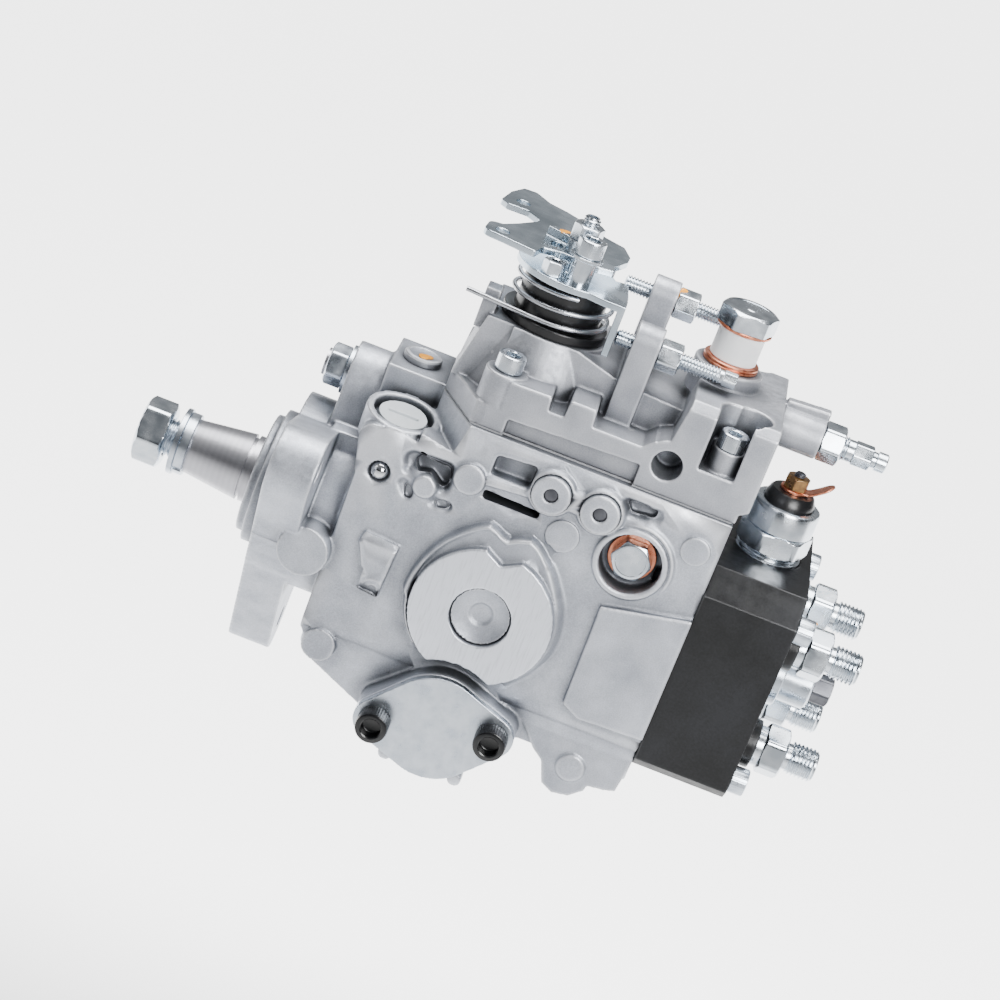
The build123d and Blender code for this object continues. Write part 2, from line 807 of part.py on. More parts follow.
def cover_screw_places():
    """Centres of the four screws that hold the cover, in (x, y)."""
    for x in (cover_screw_left, cover_screw_right):
        for y in (cover_screw_front, cover_screw_back):
            yield x, y


def flange():
    """Mounting flange with three ears, its pilot and the seal's nose."""
    ears = [polar(radius, angle) for radius, angle in ear_places]
    plate = prism_x(hull_of([(y, z, ear_r) for y, z in ears]), 0, flange_t)
    plate += cyl_x(pilot_r + 6.5, 0, flange_t)
    plate += cyl_x(pilot_r, -pilot_length, 0) + cyl_x(nose_r, -pilot_length - nose_length, 0)
    for y, z in ears:
        plate -= cyl_x(flange_hole_r, -1, flange_t + 1, y, z)
    return plate


def casting_body():
    """Main block of the housing: side view drawn across, with cut lower corners."""
    side = outline([
        (body_start, joint_z - 26), (body_start, -33.5), (28.7, -36.1), (28.7, -39.5), (30.2, -43.0),
        (34.3, -46.3), (56.2, -58.0), (75.0, -60.0), (98.0, -58.0), (113.0, body_bottom),
        (housing_end, body_bottom), (housing_end, joint_z), (cover_left, joint_z), (cover_left, joint_z - 9)])
    body = prism_y(side, -half_width, half_width)
    body -= corner_wedge()
    cut = outline([
        (-half_width, joint_z), (-half_width, -30.0), (-half_width + corner_cut, -62.0),
        (half_width - corner_cut, -62.0), (half_width, -30.0), (half_width, joint_z)])
    return body & prism_x(cut, body_start - 1, housing_end + 1)


def corner_wedge():
    """Space outside the slanting face under the cover's cut corner."""
    along = Vector(cover_corner[1][0] - cover_corner[0][0], cover_corner[1][1] - cover_corner[0][1], 0)
    foot = Vector(56.3 - cover_corner[0][0], -half_width - cover_corner[0][1], 47.4 - joint_z)
    outward = foot.cross(along)
    face = Plane(origin=(cover_corner[0][0], cover_corner[0][1], joint_z), x_dir=along, z_dir=outward)
    return (face * Pos(0, 0, 30) * Box(140, 140, 60)) & block(30.0, 75.0, -60.0, 0.0, 43.5, 90.0)


def front_block():
    """Block in front of the governor, with the seat of its lock nut and of the regulating valve."""
    tower = prism_x(hull_of([
        (governor_y, governor_z, 11.4), (-4.0, 30.0, 9.0), (governor_y + 12, 30.0, 9.0)]),
        governor_block_x, cover_left + 6)
    ridge = block(valve_cap_x - 10, cover_left + 6, -9.0, 22.0, 24.0, joint_z)
    link = block(governor_block_x + 2, cover_left + 2, -20.0, 24.0, 10.0, 34.0)
    return tower + ridge + link


def inlet_tower():
    """Pillar on the visible side with the tilted fuel inlet."""
    pillar = prism_y(hull_of([
        (ball_x, 32.5, 8.6), (ball_x - 6.0, 43.0, 5.0), (ball_x + 6.0, 43.0, 5.0)]), -half_width, -8.0)
    boss = cyl_z(inlet_boss_r, -12.0, 0.0)
    web = prism_y(outline([(44.0, 51.0), (63.5, 47.0), (66.5, 40.0), (44.0, 45.5)]), -half_width, -18.0)
    floor = block(25.0, 52.0, -24.0, 0.0, 34.0, 45.0)
    return pillar + inlet_frame * boss + web + floor


def side_features():
    """Bosses, discs, ribs and pads of the visible side."""
    shape = cyl_y(9.2, -44.0, -24.0, 19.5, -3.5)
    shape += cyl_y(6.2, -half_width - 1.0, -20.0, 35.5, -37.5)
    shape += prism_y(outline([
        (37.5, 10.1), (50.3, 9.1), (49.0, -11.8), (37.2, -10.4), (40.4, -2.7), (36.6, 5.9)]), -40.0, -30.0)
    for x, z, r in ((51.2, 33.5, 4.3), (64.7, 42.0, 5.65), (101.4, 34.5, 6.0), (145.6, 46.9, 5.2)):
        shape += cyl_y(r, -half_width - 2.0, -30.0, x, z)
    for x, z in bracket_places:
        shape += cyl_y(bracket_boss_r, -bracket_face, -30.0, x, z)
    shape += prism_y(outline([
        (122.6, 16.0), (housing_end, 22.9), (housing_end, -26.2), (129.8, -27.2), (123.2, -23.6)]),
        -half_width - 2.5, -30.0)
    return shape + cyl_y(access_rim_r, -half_width - 1.5, -20.0, access_x, access_z)


def machined_pad():
    """Round machined pad with a notch on a wider cast pad, cut away round the timing cylinder."""
    notch = outline([(79.3, 30.0), (79.3, 21.7), (85.5, 18.2), (92.4, 21.8), (92.4, 30.0)])
    timing = Pos(timer_x, timer_z) * Circle(24.5)
    wide = Pos(pad_x + 2.8, pad_z + 5.2) * Circle(pad_r + 2.7)
    wide -= notch.moved(Location((0, 6, 0)))
    wide -= timing
    face = Pos(pad_x, pad_z) * Circle(pad_r)
    face -= notch
    face -= timing
    return prism_y(wide, -pad_face + 3.0, -30.0) + prism_y(face, -pad_face, -30.0)


def timing_cylinder():
    """Cross bore housing of the injection advance, with small ribs below."""
    barrel = prism_y(timer_plate_outline(), -timer_face, timer_face)
    for x in (71.3, 97.5):
        barrel += cyl_y(2.6, -timer_face + 0.4, -timer_face + 8.0, x, -64.4)
    return barrel


def lower_lugs():
    """Bracket lugs under the head end."""
    side = outline([
        (113.0, body_bottom + 8), (119.5, -46.2), (123.9, -49.5), (126.9, -57.7), (131.6, -60.1), (137.6, -59.0),
        (142.4, -54.6), (142.3, -52.6), (148.4, -51.9), (152.5, -50.6), (housing_end, body_bottom + 8)])
    lug = prism_y(side, -half_width + 2.0, -20.0) + prism_y(side, 20.0, half_width - 2.0)
    return lug + cyl_y(5.2, -half_width + 0.8, 0.8 - half_width + 7.5, 134.5, body_bottom - 1.9)


def pump_housing():
    """Aluminium casting with all its bores."""
    shape = flange() + cyl_x(neck_r, 0, body_start + 2) + casting_body() + front_block() + inlet_tower()
    shape += side_features() + machined_pad() + timing_cylinder() + lower_lugs()
    nose_start = -pilot_length - nose_length
    shape -= cyl_x(seal_r, nose_start - 1, bush_front)
    shape -= cyl_x(bush_r + seat_fit, bush_front - 1, bush_front + bush_length)
    shape -= cyl_x(bush_r - 1.5, bush_front, pump_bore_start + 1)
    shape -= cyl_x(pump_bore_r, pump_bore_start, pump_cover_start + pump_cover_t)
    shape -= cyl_x(main_bore_r, pump_cover_start + pump_cover_t, housing_end + 1)
    narrow_start = ring_start + 5
    shape -= block(well_start, cage_start, gear_well_front, well_back, 20.0, joint_z + 1)
    shape -= block(cage_start - 1, narrow_start, well_front, well_back, 20.0, joint_z + 1)
    shape -= block(narrow_start - 1, lever_pivot_x + 14, -9.0, 12.5, 20.0, joint_z + 1)
    shape -= cyl_y(lever_pin_r + running, -lever_pin_half - slack, lever_pin_half + slack, lever_pivot_x, lever_pivot_z)
    shape -= cyl_x(governor_thread_r + seat_fit, governor_block_x - 1, well_start + 1, governor_y, governor_z)
    shape -= cyl_x(governor_nut_af / 2 + 2.4, governor_block_x - 5, governor_block_x, governor_y, governor_z)
    shape -= cyl_z(5.0 + seat_fit, valve_bottom, joint_z + 1, valve_cap_x, valve_cap_y)
    shape -= cyl_y(piston_r, -timer_face - 1, timer_face + 1, timer_x, timer_z)
    for side in (1, -1):
        near, far = sorted((side * (timer_face - 2.0), side * (timer_face + 1)))
        shape -= cyl_y(piston_r + 2.65, near, far, timer_x, timer_z)
    slot_half = timer_pin_r + 1.0
    shape -= block(timer_x - slot_half, timer_x + slot_half, -slot_half - 5.0, slot_half + timer_travel + 3.0, -40, -24)
    for x, z in timer_screw_places():
        shape -= cyl_y(m6_r + seat_fit, -timer_face - 1, -timer_face + 15, x, z)
        shape -= cyl_y(m6_r + seat_fit, timer_face - 15, timer_face + 1, x, z)
    for x, y in cover_screw_places():
        shape -= cyl_z(m6_r + seat_fit, joint_z - cover_screw_grip - 2, joint_z + 1, x, y)
    for y, z in quadrants:
        shape -= cyl_x(m6_r + seat_fit, housing_end - 18, housing_end + 1, y * head_screw_place, z * head_screw_place)
    shape -= inlet_frame * (cyl_z(inlet_recess_r, -5.0, 1.0) + cyl_z(6.0 + seat_fit, -16.0, 1.0))
    shape -= cyl_y(ball_r, -half_width - 1, -half_width + 6.0, ball_x, ball_z)
    shape -= Pos(ball_x, -half_width + 0.6, ball_z) * Rot(90, 0, 0) * Cone(ball_r, ball_r + 1.3, 1.3)
    face = -half_width - 1.5
    shape -= cyl_y(access_bore_r, face - 1, face + access_depth, access_x, access_z)
    shape -= cyl_y(4.0 + seat_fit, face, face + access_depth + 9.0, access_x, access_z)
    shape -= cyl_y(pad_pocket_r, -pad_face - 1, -pad_face + 4.0, pad_x, pad_z)
    for x, z in bracket_places:
        shape -= cyl_y(bracket_hole_r, -bracket_face - 1, -bracket_face + bracket_hole_depth, x, z)
    return shape - side_pockets()


def side_pockets():
    """Hollows of the casting between the ribs of the visible side."""
    pockets = (
        (8.0, [(70.8, 53.6), (85.4, 54.8), (85.0, 46.4), (70.7, 46.2)]),
        (8.0, [(70.6, 40.4), (91.6, 39.6), (91.2, 36.9), (70.9, 37.0)]),
        (4.0, [(117.8, 55.2), (129.2, 55.6), (128.6, 52.4), (120.1, 51.3)]),
        (8.0, [(45.2, 40.5), (46.4, 43.3), (57.6, 42.4), (58.6, 36.6), (56.6, 34.6), (51.5, 38.4), (46.8, 37.2)]),
        (3.0, [(44.4, 31.6), (46.4, 31.9), (48.2, 29.4), (48.4, 26.9), (45.4, 26.8)]),
        (3.0, [(55.6, 29.6), (60.0, 31.4), (61.6, 28.2), (57.6, 27.4)]))
    hollow = []
    for depth, corners in pockets:
        hollow.append(prism_y(outline(corners, 0.6), -half_width - 3.0, -half_width + depth))
    return hollow


def inlet_plug():
    """White closing plug of the fuel inlet, with a slot."""
    plug = cyl_z(inlet_plug_r, -5.0, -1.2) + cyl_z(6.0, -14.0, -5.0)
    return inlet_frame * (plug - block(-5.5, 5.5, -0.9, 0.9, -2.4, 0.0))


def ball_plug():
    """Steel ball pressed into the pillar."""
    return Pos(ball_x, -half_width + 2.2, ball_z) * Sphere(ball_r)


def access_plug():
    """Hexagon plug in the side window."""
    seat = -half_width - 1.5 + access_depth
    head = prism_y(hexagon(access_bolt_af), seat - 1.4 - access_bolt_h, seat - 1.4)
    plug = Pos(access_x, 0, access_z) * head + cyl_y(4.0, seat - 1.4, seat + 8.0, access_x, access_z)
    return plug


def regulating_valve():
    """Domed cap of the feed-pressure valve."""
    cap = cyl_z(valve_cap_r, joint_z, joint_z + 2.6, valve_cap_x, valve_cap_y)
    cap += cyl_z(5.0, valve_bottom + 0.2, joint_z, valve_cap_x, valve_cap_y)
    return cap - cyl_z(4.0, joint_z + 1.6, joint_z + 3, valve_cap_x, valve_cap_y)


def bolt_washer(inner, outer, thickness):
    """Flat washer from z = 0 upward."""
    return cyl_z(outer, 0, thickness) - cyl_z(inner, -1, thickness + 1)


def copper_washers():
    """Sealing washers of the return bolt and of the side plug."""
    washers = []
    top = banjo_boss_top + 2 * banjo_washer_t + banjo_sleeve_h
    for z in (banjo_boss_top, banjo_boss_top + banjo_washer_t, top):
        ring = bolt_washer(banjo_bolt_r + 0.1, banjo_washer_r, banjo_washer_t)
        washers.append(Pos(banjo_x, 0, z) * ring)
    seat = -half_width - 1.5 + access_depth
    washers.append(Pos(access_x, seat, access_z) * Rot(90, 0, 0) * bolt_washer(4.1, 8.6, 1.4))
    return washers


def cover_seat(x):
    """Height of the seat of a cover screw."""
    return cover_seats[0] if x < throttle_x else cover_seats[1]


def cover_plan(inset, right):
    """Plan of the cover's joint face: a rectangle with one cut corner and a round screw pillar in it."""
    front = cover_half - inset
    plan = outline([
        (cover_left + inset, cover_corner[0][1]), (cover_corner[1][0] + inset, cover_corner[1][1]),
        (cover_corner[1][0] + 4.0, -front), (right, -front), (right, front), (cover_left + inset, front)], 1.0)
    return plan + Pos(cover_screw_left, cover_screw_front) * Circle(cover_pillar_r - inset)


def cover_front_wall():
    """Front wall of the cover with its stepped top edge."""
    wall = prism_y(outline([
        (66.0, cover_bottom), (66.0, 79.4), (81.0, 79.8), (81.4, 74.5), (87.0, 74.5), (87.5, 81.0), (96.8, 81.0),
        (97.4, 74.8), (115.2, 74.8), (118.8, 78.2), (block_start + 4, 80.0), (block_start + 4, cover_bottom)], 0.9),
        -cover_half, -18.0)
    recess = outline([(69.7, cover_bottom - 1), (69.7, 66.4), (117.0, 68.5), (117.0, cover_bottom - 1)])
    return wall, prism_y(recess, -cover_half - 1, -cover_half + 2.2)


def cover_block():
    """Block at the head end with the wells of the two right screws."""
    section = outline([
        (-cover_half, cover_bottom), (-cover_half, block_top - 3.0), (-cover_half + 3.0, block_top), (26.0, block_top),
        (30.0, 88.0), (cover_half, 88.0), (cover_half, cover_bottom)])
    side = outline([
        (block_start, cover_bottom), (block_start + 2.3, 81.0), (block_start + 4.6, block_top + 1),
        (cover_right, block_top + 1), (cover_right, 66.0), (cover_right - 3.0, 64.0), (cover_right - 3.0, cover_bottom)])
    shape = prism_x(section, block_start - 1, cover_right) & prism_y(side, -cover_half, cover_half)
    x, seat = cover_screw_right, cover_seats[1]
    opening = block(x - 7.9, x + 5.0, -cover_half - 1, cover_screw_front, well_floor, block_top + 1)
    opening += cyl_z(6.4, well_floor, block_top + 1, x - 1.5, cover_screw_front)
    opening += cyl_z(7.0, well_floor, block_top + 1, x + 3.5, cover_screw_front + 1.0)
    opening -= cyl_z(5.6, well_floor - 1, seat, x, cover_screw_front)
    opening -= block(x - 5.6, x + 5.6, cover_screw_front, -18.0, well_floor - 1, seat)
    back = cyl_z(8.8, seat, block_top + 1, x, cover_screw_back)
    back += block(x - 8.8, x + 5.0, cover_screw_back, cover_half + 1, seat, block_top + 1)
    return shape, opening + back


def governor_cover():
    """Cover casting with tower, screw seats, stop posts and the return boss."""
    shape = prism_z(cover_plan(0.0, block_start + 5), cover_bottom, cover_band_top - 2)
    wall, recess = cover_front_wall()
    shape = shape + wall - recess
    shape += cone_z(tower_foot_r, tower_top_r, cover_band_top - 3, tower_top, throttle_x)
    left = outline([(cover_left, cover_band_top - 3), (50.4, tower_top), (62.0, tower_top), (62.0, cover_band_top - 3)])
    shape += prism_y(left, -17.0, 22.0)
    shape += prism_y(outline([(60.0, 68.0), (60.0, tower_top), (84.0, tower_top), (100.0, mid_top - 2),
                              (block_start + 8, mid_top - 4), (block_start + 8, 68.0)]), -19.0, 28.0)
    shape += block(46.5, 52.0, -14.0, -6.0, 86.0, 101.0)
    for y in (cover_screw_front, cover_screw_back):
        pillar = cyl_z(cover_pillar_r, cover_bottom, cover_seats[0], cover_screw_left, y)
        shape += pillar & block(cover_left, cover_right, -cover_half, cover_half, 0, 99)
    right, wells = cover_block()
    shape += right
    shape += cyl_z(banjo_boss_r, 90.0, banjo_boss_top, banjo_x)
    shape += cyl_y(9.0, -cover_half, -20.0, side_bore_x, side_bore_z)
    shape += front_post() + back_post() + return_stub()
    shape -= wells
    shape -= cyl_z(6.4, cover_seats[0], tower_top + 9, cover_screw_left, cover_screw_back)
    for x, y in cover_screw_places():
        shape -= cyl_z(m6_r + seat_fit, cover_bottom - 1, cover_seat(x) + 1, x, y)
    shape -= cover_cavity()
    shape -= cyl_z(throttle_r + running, throttle_arm_z, tower_top + 10, throttle_x)
    shape -= cyl_y(side_bore_r, -cover_half - 1, -cover_half + side_bore_depth, side_bore_x, side_bore_z)
    shape -= cyl_z(banjo_bolt_r + seat_fit, banjo_boss_top - 8.5, banjo_boss_top + 1, banjo_x)
    load_end = block_start + 30
    shape -= cyl_x(load_screw_r + seat_fit, load_screw_tip - 2, load_end + 60, 0, stub_z)
    return shape


def joint_opening(bottom, top):
    """Space for governor and lever where the cover meets the housing."""
    wide = block(cage_start, cavity_end, well_front, well_back, bottom, top)
    return wide + block(well_start, cage_start + 1, -15.5, 24.0, bottom, top)


def cover_cavity():
    """Hollow of the cover over governor and lever."""
    roof = outline([
        (cover_left + 7, cover_bottom - 1), (cover_left + 9.5, 82.0), (58.0, 87.0), (92.0, 87.0), (100.0, 82.0),
        (cavity_end, 82.0), (cavity_end, cover_bottom - 1)])
    hollow = prism_y(roof, -14.0, 19.0) + joint_opening(cover_bottom - 1, cover_band_top - 4)
    hollow += block(well_start, cage_start + 1, -8.0, 15.0, cover_bottom - 1, 70.6)
    boss = cyl_z(10.0, throttle_boss_bottom, tower_top, throttle_x)
    return hollow - boss


def front_post():
    """Post of the idle stop screw."""
    post = block(post_start, post_start + post_width, idle_y - post_half, idle_y + post_half, 70.0, idle_z + 3)
    post += cyl_x(post_half, post_start, post_start + post_width, idle_y, idle_z + 2.5)
    post += block(post_start, post_start + post_width, idle_y - 2, full_y, 84.0, 94.0)
    return post - cyl_x(stop_screw_r + seat_fit, post_start - 1, post_start + post_width + 1, idle_y, idle_z)


def back_post():
    """Post of the full-speed stop screw."""
    post = block(post_start, post_start + post_width, full_y - post_half, full_y + post_half, 80.0, full_z + 1)
    post += cyl_x(post_half, post_start, post_start + post_width, full_y, full_z + 1)
    return post - cyl_x(stop_screw_r + seat_fit, post_start - 1, post_start + post_width + 1, full_y, full_z)


def return_stub():
    """Neck of the full-load screw, with a wedge lug on top."""
    stub = cyl_x(stub_r, cover_right - 2, stub_end, 0, stub_z)
    lug = outline([(cover_right - 1, 92.0), (cover_right + 0.5, 98.0), (stub_end, 99.0), (stub_end, 92.0)])
    return stub + prism_y(lug, -2.0, 2.6)


def cover_gasket():
    """Flat seal under the cover."""
    plate = prism_z(cover_plan(0.4, cover_right - 4.0), joint_z, cover_bottom)
    plate -= joint_opening(joint_z - 1, cover_bottom + 1) + cover_front_wall()[1]
    return plate_screw_holes(plate, cover_screw_places(), joint_z - 1, cover_bottom + 1)


def cover_screws():
    """Four M6 socket screws of the cover."""
    for x, y in cover_screw_places():
        reach = cover_seat(x) - joint_z + cover_screw_grip
        yield Pos(x, y, cover_seat(x)) * socket_screw(3.4, reach)


def adjuster_screws():
    """Idle stop screw, full-speed stop screw and full-load screw."""
    idle = cyl_x(stop_screw_r, idle_tip, idle_tip + stop_screw_length - 5.5, idle_y, idle_z)
    idle += Pos(0, idle_y, idle_z) * prism_x(hexagon(7.0), idle_tip + stop_screw_length - 5.5,
                                            idle_tip + stop_screw_length - 1)
    full = cyl_x(stop_screw_r, full_tip, full_tip + stop_screw_length - 5.5, full_y, full_z)
    full += Pos(0, full_y, full_z) * prism_x(hexagon(6.0), full_tip + stop_screw_length - 5.5,
                                            full_tip + stop_screw_length - 3)
    load = cyl_x(load_screw_r, load_screw_tip, 198.0, 0, stub_z)
    load += Pos(0, 0, stub_z) * prism_x(hexagon(10.0), 182.5, 195.0)
    return idle, full, load


def adjuster_lock_nuts():
    """Lock nuts of the three screws."""
    nuts = []
    behind = post_start + post_width
    for y, z in ((idle_y, idle_z), (full_y, full_z)):
        nut = Pos(0, y, z) * prism_x(hexagon(lock_nut_af, 14), behind, behind + lock_nut_t)
        nuts.append(nut - cyl_x(stop_screw_r + seat_fit, behind - 1, behind + lock_nut_t + 1, y, z))
    nut = Pos(0, 0, stub_z) * prism_x(hexagon(load_nut_af, 8), stub_end, stub_end + load_nut_t)
    nuts.append(nut - cyl_x(load_screw_r + seat_fit, stub_end - 1, stub_end + load_nut_t + 1, 0, stub_z))
    return nuts


def banjo_bolt():
    """Hollow bolt of the fuel return."""
    head_start = banjo_boss_top + 3 * banjo_washer_t + banjo_sleeve_h
    head = prism_z(hexagon(banjo_af, 10), head_start, head_start + banjo_head_h)
    return Pos(banjo_x, 0, 0) * head + cyl_z(banjo_bolt_r, banjo_boss_top - 8, head_start, banjo_x)


def return_sleeve():
    """White sleeve under the return bolt's head."""
    start = banjo_boss_top + 2 * banjo_washer_t
    sleeve = cyl_z(banjo_sleeve_r, start, start + banjo_sleeve_h, banjo_x)
    return sleeve - cyl_z(banjo_bolt_r + 0.1, start - 1, start + banjo_sleeve_h + 1, banjo_x)


def hydraulic_head():
    """Distributor head with its spigot, outlets and bores."""
    section = outline([
        (-head_half, head_bottom + head_chamfer), (-head_half + head_chamfer, head_bottom),
        (head_half - head_chamfer, head_bottom), (head_half, head_bottom + head_chamfer),
        (head_half, head_shoulder), (head_half - head_slope, head_top), (-head_half + head_slope, head_top),
        (-head_half, head_shoulder)])
    shape = prism_x(section, housing_end, head_end)
    shape += cyl_x(main_bore_r - running, head_inner, housing_end)
    shape += cyl_x(plug_boss_r, head_end, head_end + plug_boss_t)
    for y, z in quadrants:
        shape += cyl_x(9.0, head_end - 1, head_end + 4.5, y * outlet_place, z * outlet_place)
    shape -= cyl_x(plunger_r + running, head_inner - 1, plunger_end + 4)
    shape -= cyl_x(7.2, plunger_end + 3, head_end + plug_boss_t + 1)
    ring_groove = housing_end - 5.1
    shape -= cyl_x(main_bore_r + 1, ring_groove, ring_groove + 2.6) - cyl_x(main_bore_r - 2.25, ring_groove - 1, ring_groove + 4)
    for y, z in quadrants:
        y0, z0 = y * outlet_place, z * outlet_place
        shape -= cyl_x(7.0, head_end - 9.0, head_end + 6, y0, z0)
        screw_y, screw_z = y * head_screw_place, z * head_screw_place
        shape -= cyl_x(m6_r + seat_fit, housing_end - 1, head_end + 1, screw_y, screw_z)
    shape -= cyl_z(solenoid_thread_r + seat_fit, solenoid_hex_start - solenoid_thread_depth, head_top + 5, solenoid_x)
    return shape - cyl_z(armature_r + running, armature_bottom - 3, head_top, solenoid_x)


def head_screws():
    """Four socket screws through the head."""
    for y, z in quadrants:
        place = Pos(head_end, y * head_screw_place, z * head_screw_place) * Rot(0, 90, 0)
        yield place * socket_screw(3.2, head_end - housing_end + 16)


def delivery_holders():
    """Four outlet holders with hexagon and pipe thread."""
    for y, z in quadrants:
        y0, z0 = y * outlet_place, z * outlet_place
        holder = cyl_x(7.0, head_end - 8.8, holder_hex_start, y0, z0)
        holder += cyl_x(holder_r, head_end + 4.5, holder_hex_start, y0, z0)
        hex_end = holder_hex_start + holder_hex_length
        holder += Pos(0, y0, z0) * prism_x(hexagon(holder_across_flats, 20), holder_hex_start, hex_end)
        holder += cyl_x(holder_neck_r, hex_end, hex_end + holder_neck_length, y0, z0)
        holder += cyl_x(holder_thread_r, hex_end + holder_neck_length, outlet_end, y0, z0)
        holder -= cyl_x(holder_bore_r, hex_end, outlet_end + 1, y0, z0)
        holder -= cone_x(holder_bore_r, 3.6, outlet_end - 3.0, outlet_end, y0, z0)
        holder -= cyl_x(valve_r + seat_fit, head_end - 9, hex_end + 0.5, y0, z0)
        yield holder


def delivery_valves():
    """Valves inside the holders."""
    for y, z in quadrants:
        start = head_end - 8.8
        valve = cyl_x(valve_r, start, start + valve_length, y * outlet_place, z * outlet_place)
        yield valve + cyl_x(1.6, start, start + valve_length + 8.0, y * outlet_place, z * outlet_place)


def central_plug():
    """Plug that closes the plunger's bore."""
    start = head_end + plug_boss_t
    plug = cyl_x(7.2 - seat_fit, plunger_end + 3.2, start) + cyl_x(plug_flange_r, start, start + 3.0)
    plug += cyl_x(plug_body_r, start, plug_end)
    return plug - cyl_x(3.05, plug_end - 9, plug_end + 1)


def vent_bolt():
    """Small hexagon bolt in the middle of the plug."""
    return prism_x(hexagon(vent_across_flats), plug_end, plug_end + vent_length) + cyl_x(3.0, plug_end - 8, plug_end)


def solenoid_body():
    """Threaded can of the stop solenoid."""
    body = cyl_z(solenoid_thread_r, solenoid_hex_start - solenoid_thread_depth + 0.2, solenoid_hex_start)
    body += prism_z(hexagon(solenoid_hex_af, 8), solenoid_hex_start, solenoid_hex_start + solenoid_hex_h)
    body += cyl_z(solenoid_can_r, solenoid_hex_start + solenoid_hex_h, solenoid_can_top)
    body -= cyl_z(armature_r + running, solenoid_hex_start - solenoid_thread_depth - 1, armature_top + 2.0)
    return Pos(solenoid_x, 0, 0) * body


def solenoid_insulator():
    """Black insulator on top of the can."""
    return cone_z(insulator_r, insulator_r - 1.6, solenoid_can_top, solenoid_can_top + insulator_h, solenoid_x)


def solenoid_terminal():
    """Terminal stud with nut and bent tab."""
    seat = solenoid_can_top + insulator_h
    nut = prism_z(hexagon(terminal_af, 20), seat + 1.0, terminal_top - 1.6)
    stud = cyl_z(2.0, seat, terminal_top)
    washer = cyl_z(4.8, seat, seat + 1.0)
    tab = block(0, 7.0, -3.0, 3.0, seat, seat + 0.8)
    rise = block(0, 8.5, -3.0, 3.0, 0.0, 0.8) - cyl_z(1.3, -1, 2, 5.2)
    tab += Pos(6.6, 0, seat) * Rot(0, -38, 0) * rise
    return Pos(solenoid_x, 0, 0) * (nut + stud + washer + tab)


def solenoid_armature():
    """Plunger of the stop solenoid."""
    return cyl_z(armature_r, armature_bottom, armature_top, solenoid_x)


def throttle_shaft():
    """Upright shaft with an eccentric pin inside the cover and a nut on top."""
    shaft = cyl_z(throttle_r, throttle_arm_z, lower_plate_z, throttle_x)
    shaft += cyl_z(throttle_stud_r, lower_plate_z, throttle_tip, throttle_x)
    shaft += cyl_z(throttle_arm_r, throttle_arm_z, throttle_arm_z + throttle_arm_t, throttle_x)
    return shaft + cyl_z(throttle_pin_r, throttle_arm_z - 5.0, throttle_arm_z + 1, throttle_x + throttle_pin_place)


def lower_lever():
    """Lower plate with the idle tab and the full-speed shoulder."""
    top = lower_plate_z + plate_t
    plate = Pos(throttle_x, 0) * Circle(lower_plate_r)
    plate += outline([(throttle_x + 8, -18.5), (86.0, -20.0), (93.2, -20.0), (93.2, -9.0), (92.0, 4.0), (throttle_x + 16, 10.0)])
    shoulder = []
    for angle in (20.0, 30.0, 45.0, 60.0, 74.0):
        shoulder.append(polar(30.0, angle))
    plate -= Pos(throttle_x, 0) * (outline([(0.1, 0.0)] + shoulder) - Circle(16.0))
    plate += shoulder_lobe()
    plate -= Pos(throttle_x, 0) * Circle(throttle_stud_r + seat_fit)
    lever = prism_z(plate, lower_plate_z, top)
    lever += block(idle_tip - idle_gap - 2.4, idle_tip - idle_gap, -20.0, -12.0, tab_bottom, top)
    hub = cyl_z(6.0, top, upper_plate_z, throttle_x) - cyl_z(throttle_stud_r + seat_fit, top - 1, upper_plate_z + 1, throttle_x)
    lever += hub
    return lever


def shoulder_lobe():
    """Nose whose flat end meets the full-speed screw at the end of the turn."""
    at = math.degrees(math.atan2(full_y, full_tip - throttle_x))
    face = full_tip - throttle_x - stop_gap
    nose = [polar(12.0, at - 30), (face, full_y - stop_screw_r - 0.6), (face, full_y + stop_screw_r + 0.6),
            polar(14.0, at + 34)]
    return Pos(throttle_x, 0) * Rot(0, 0, stop_turn) * outline(nose)


def upper_lever():
    """Upper plate with two fingers for the links."""
    edge = [
        (38.3, -11.6), (46.0, -12.8), (57.8, -15.6), (59.5, -8.0), (66.0, -5.5), (80.0, -6.5), (86.0, -4.5),
        (84.5, 1.0), (86.5, 5.5), (88.8, 12.0), (89.0, 18.0), (86.0, 27.0), (78.5, 30.5), (70.0, 38.5),
        (62.5, 43.2), (55.5, 46.0), (49.5, 52.6), (44.5, 52.0), (40.9, 42.4), (39.0, 29.5), (42.0, 26.5),
        (49.5, 27.0), (54.5, 22.0), (53.8, 18.4), (48.1, 8.0), (43.5, 1.0), (39.0, -0.5)]
    plate = outline(edge)
    plate = fillet([v for v in plate.vertices() if v.X > 41.5 or v.Y > 0], 1.2)
    plate = fillet(plate.vertices().sort_by(Axis.X)[:2], 3.4)
    for x, y in link_holes:
        plate -= Pos(x, y) * Circle(link_hole_r)
    plate -= Pos(throttle_x, 0) * Circle(throttle_stud_r + seat_fit)
    plate -= Pos(63.5, 1.0) * Ellipse(2.2, 3.2)
    lever = prism_z(plate, upper_plate_z, upper_plate_z + plate_t)
    ear = prism_z(outline([(58.5, 8.0), (60.5, 10.5), (68.5, 7.0), (67.0, 4.5)]), upper_plate_z, upper_plate_z + 5.6)
    return lever + ear


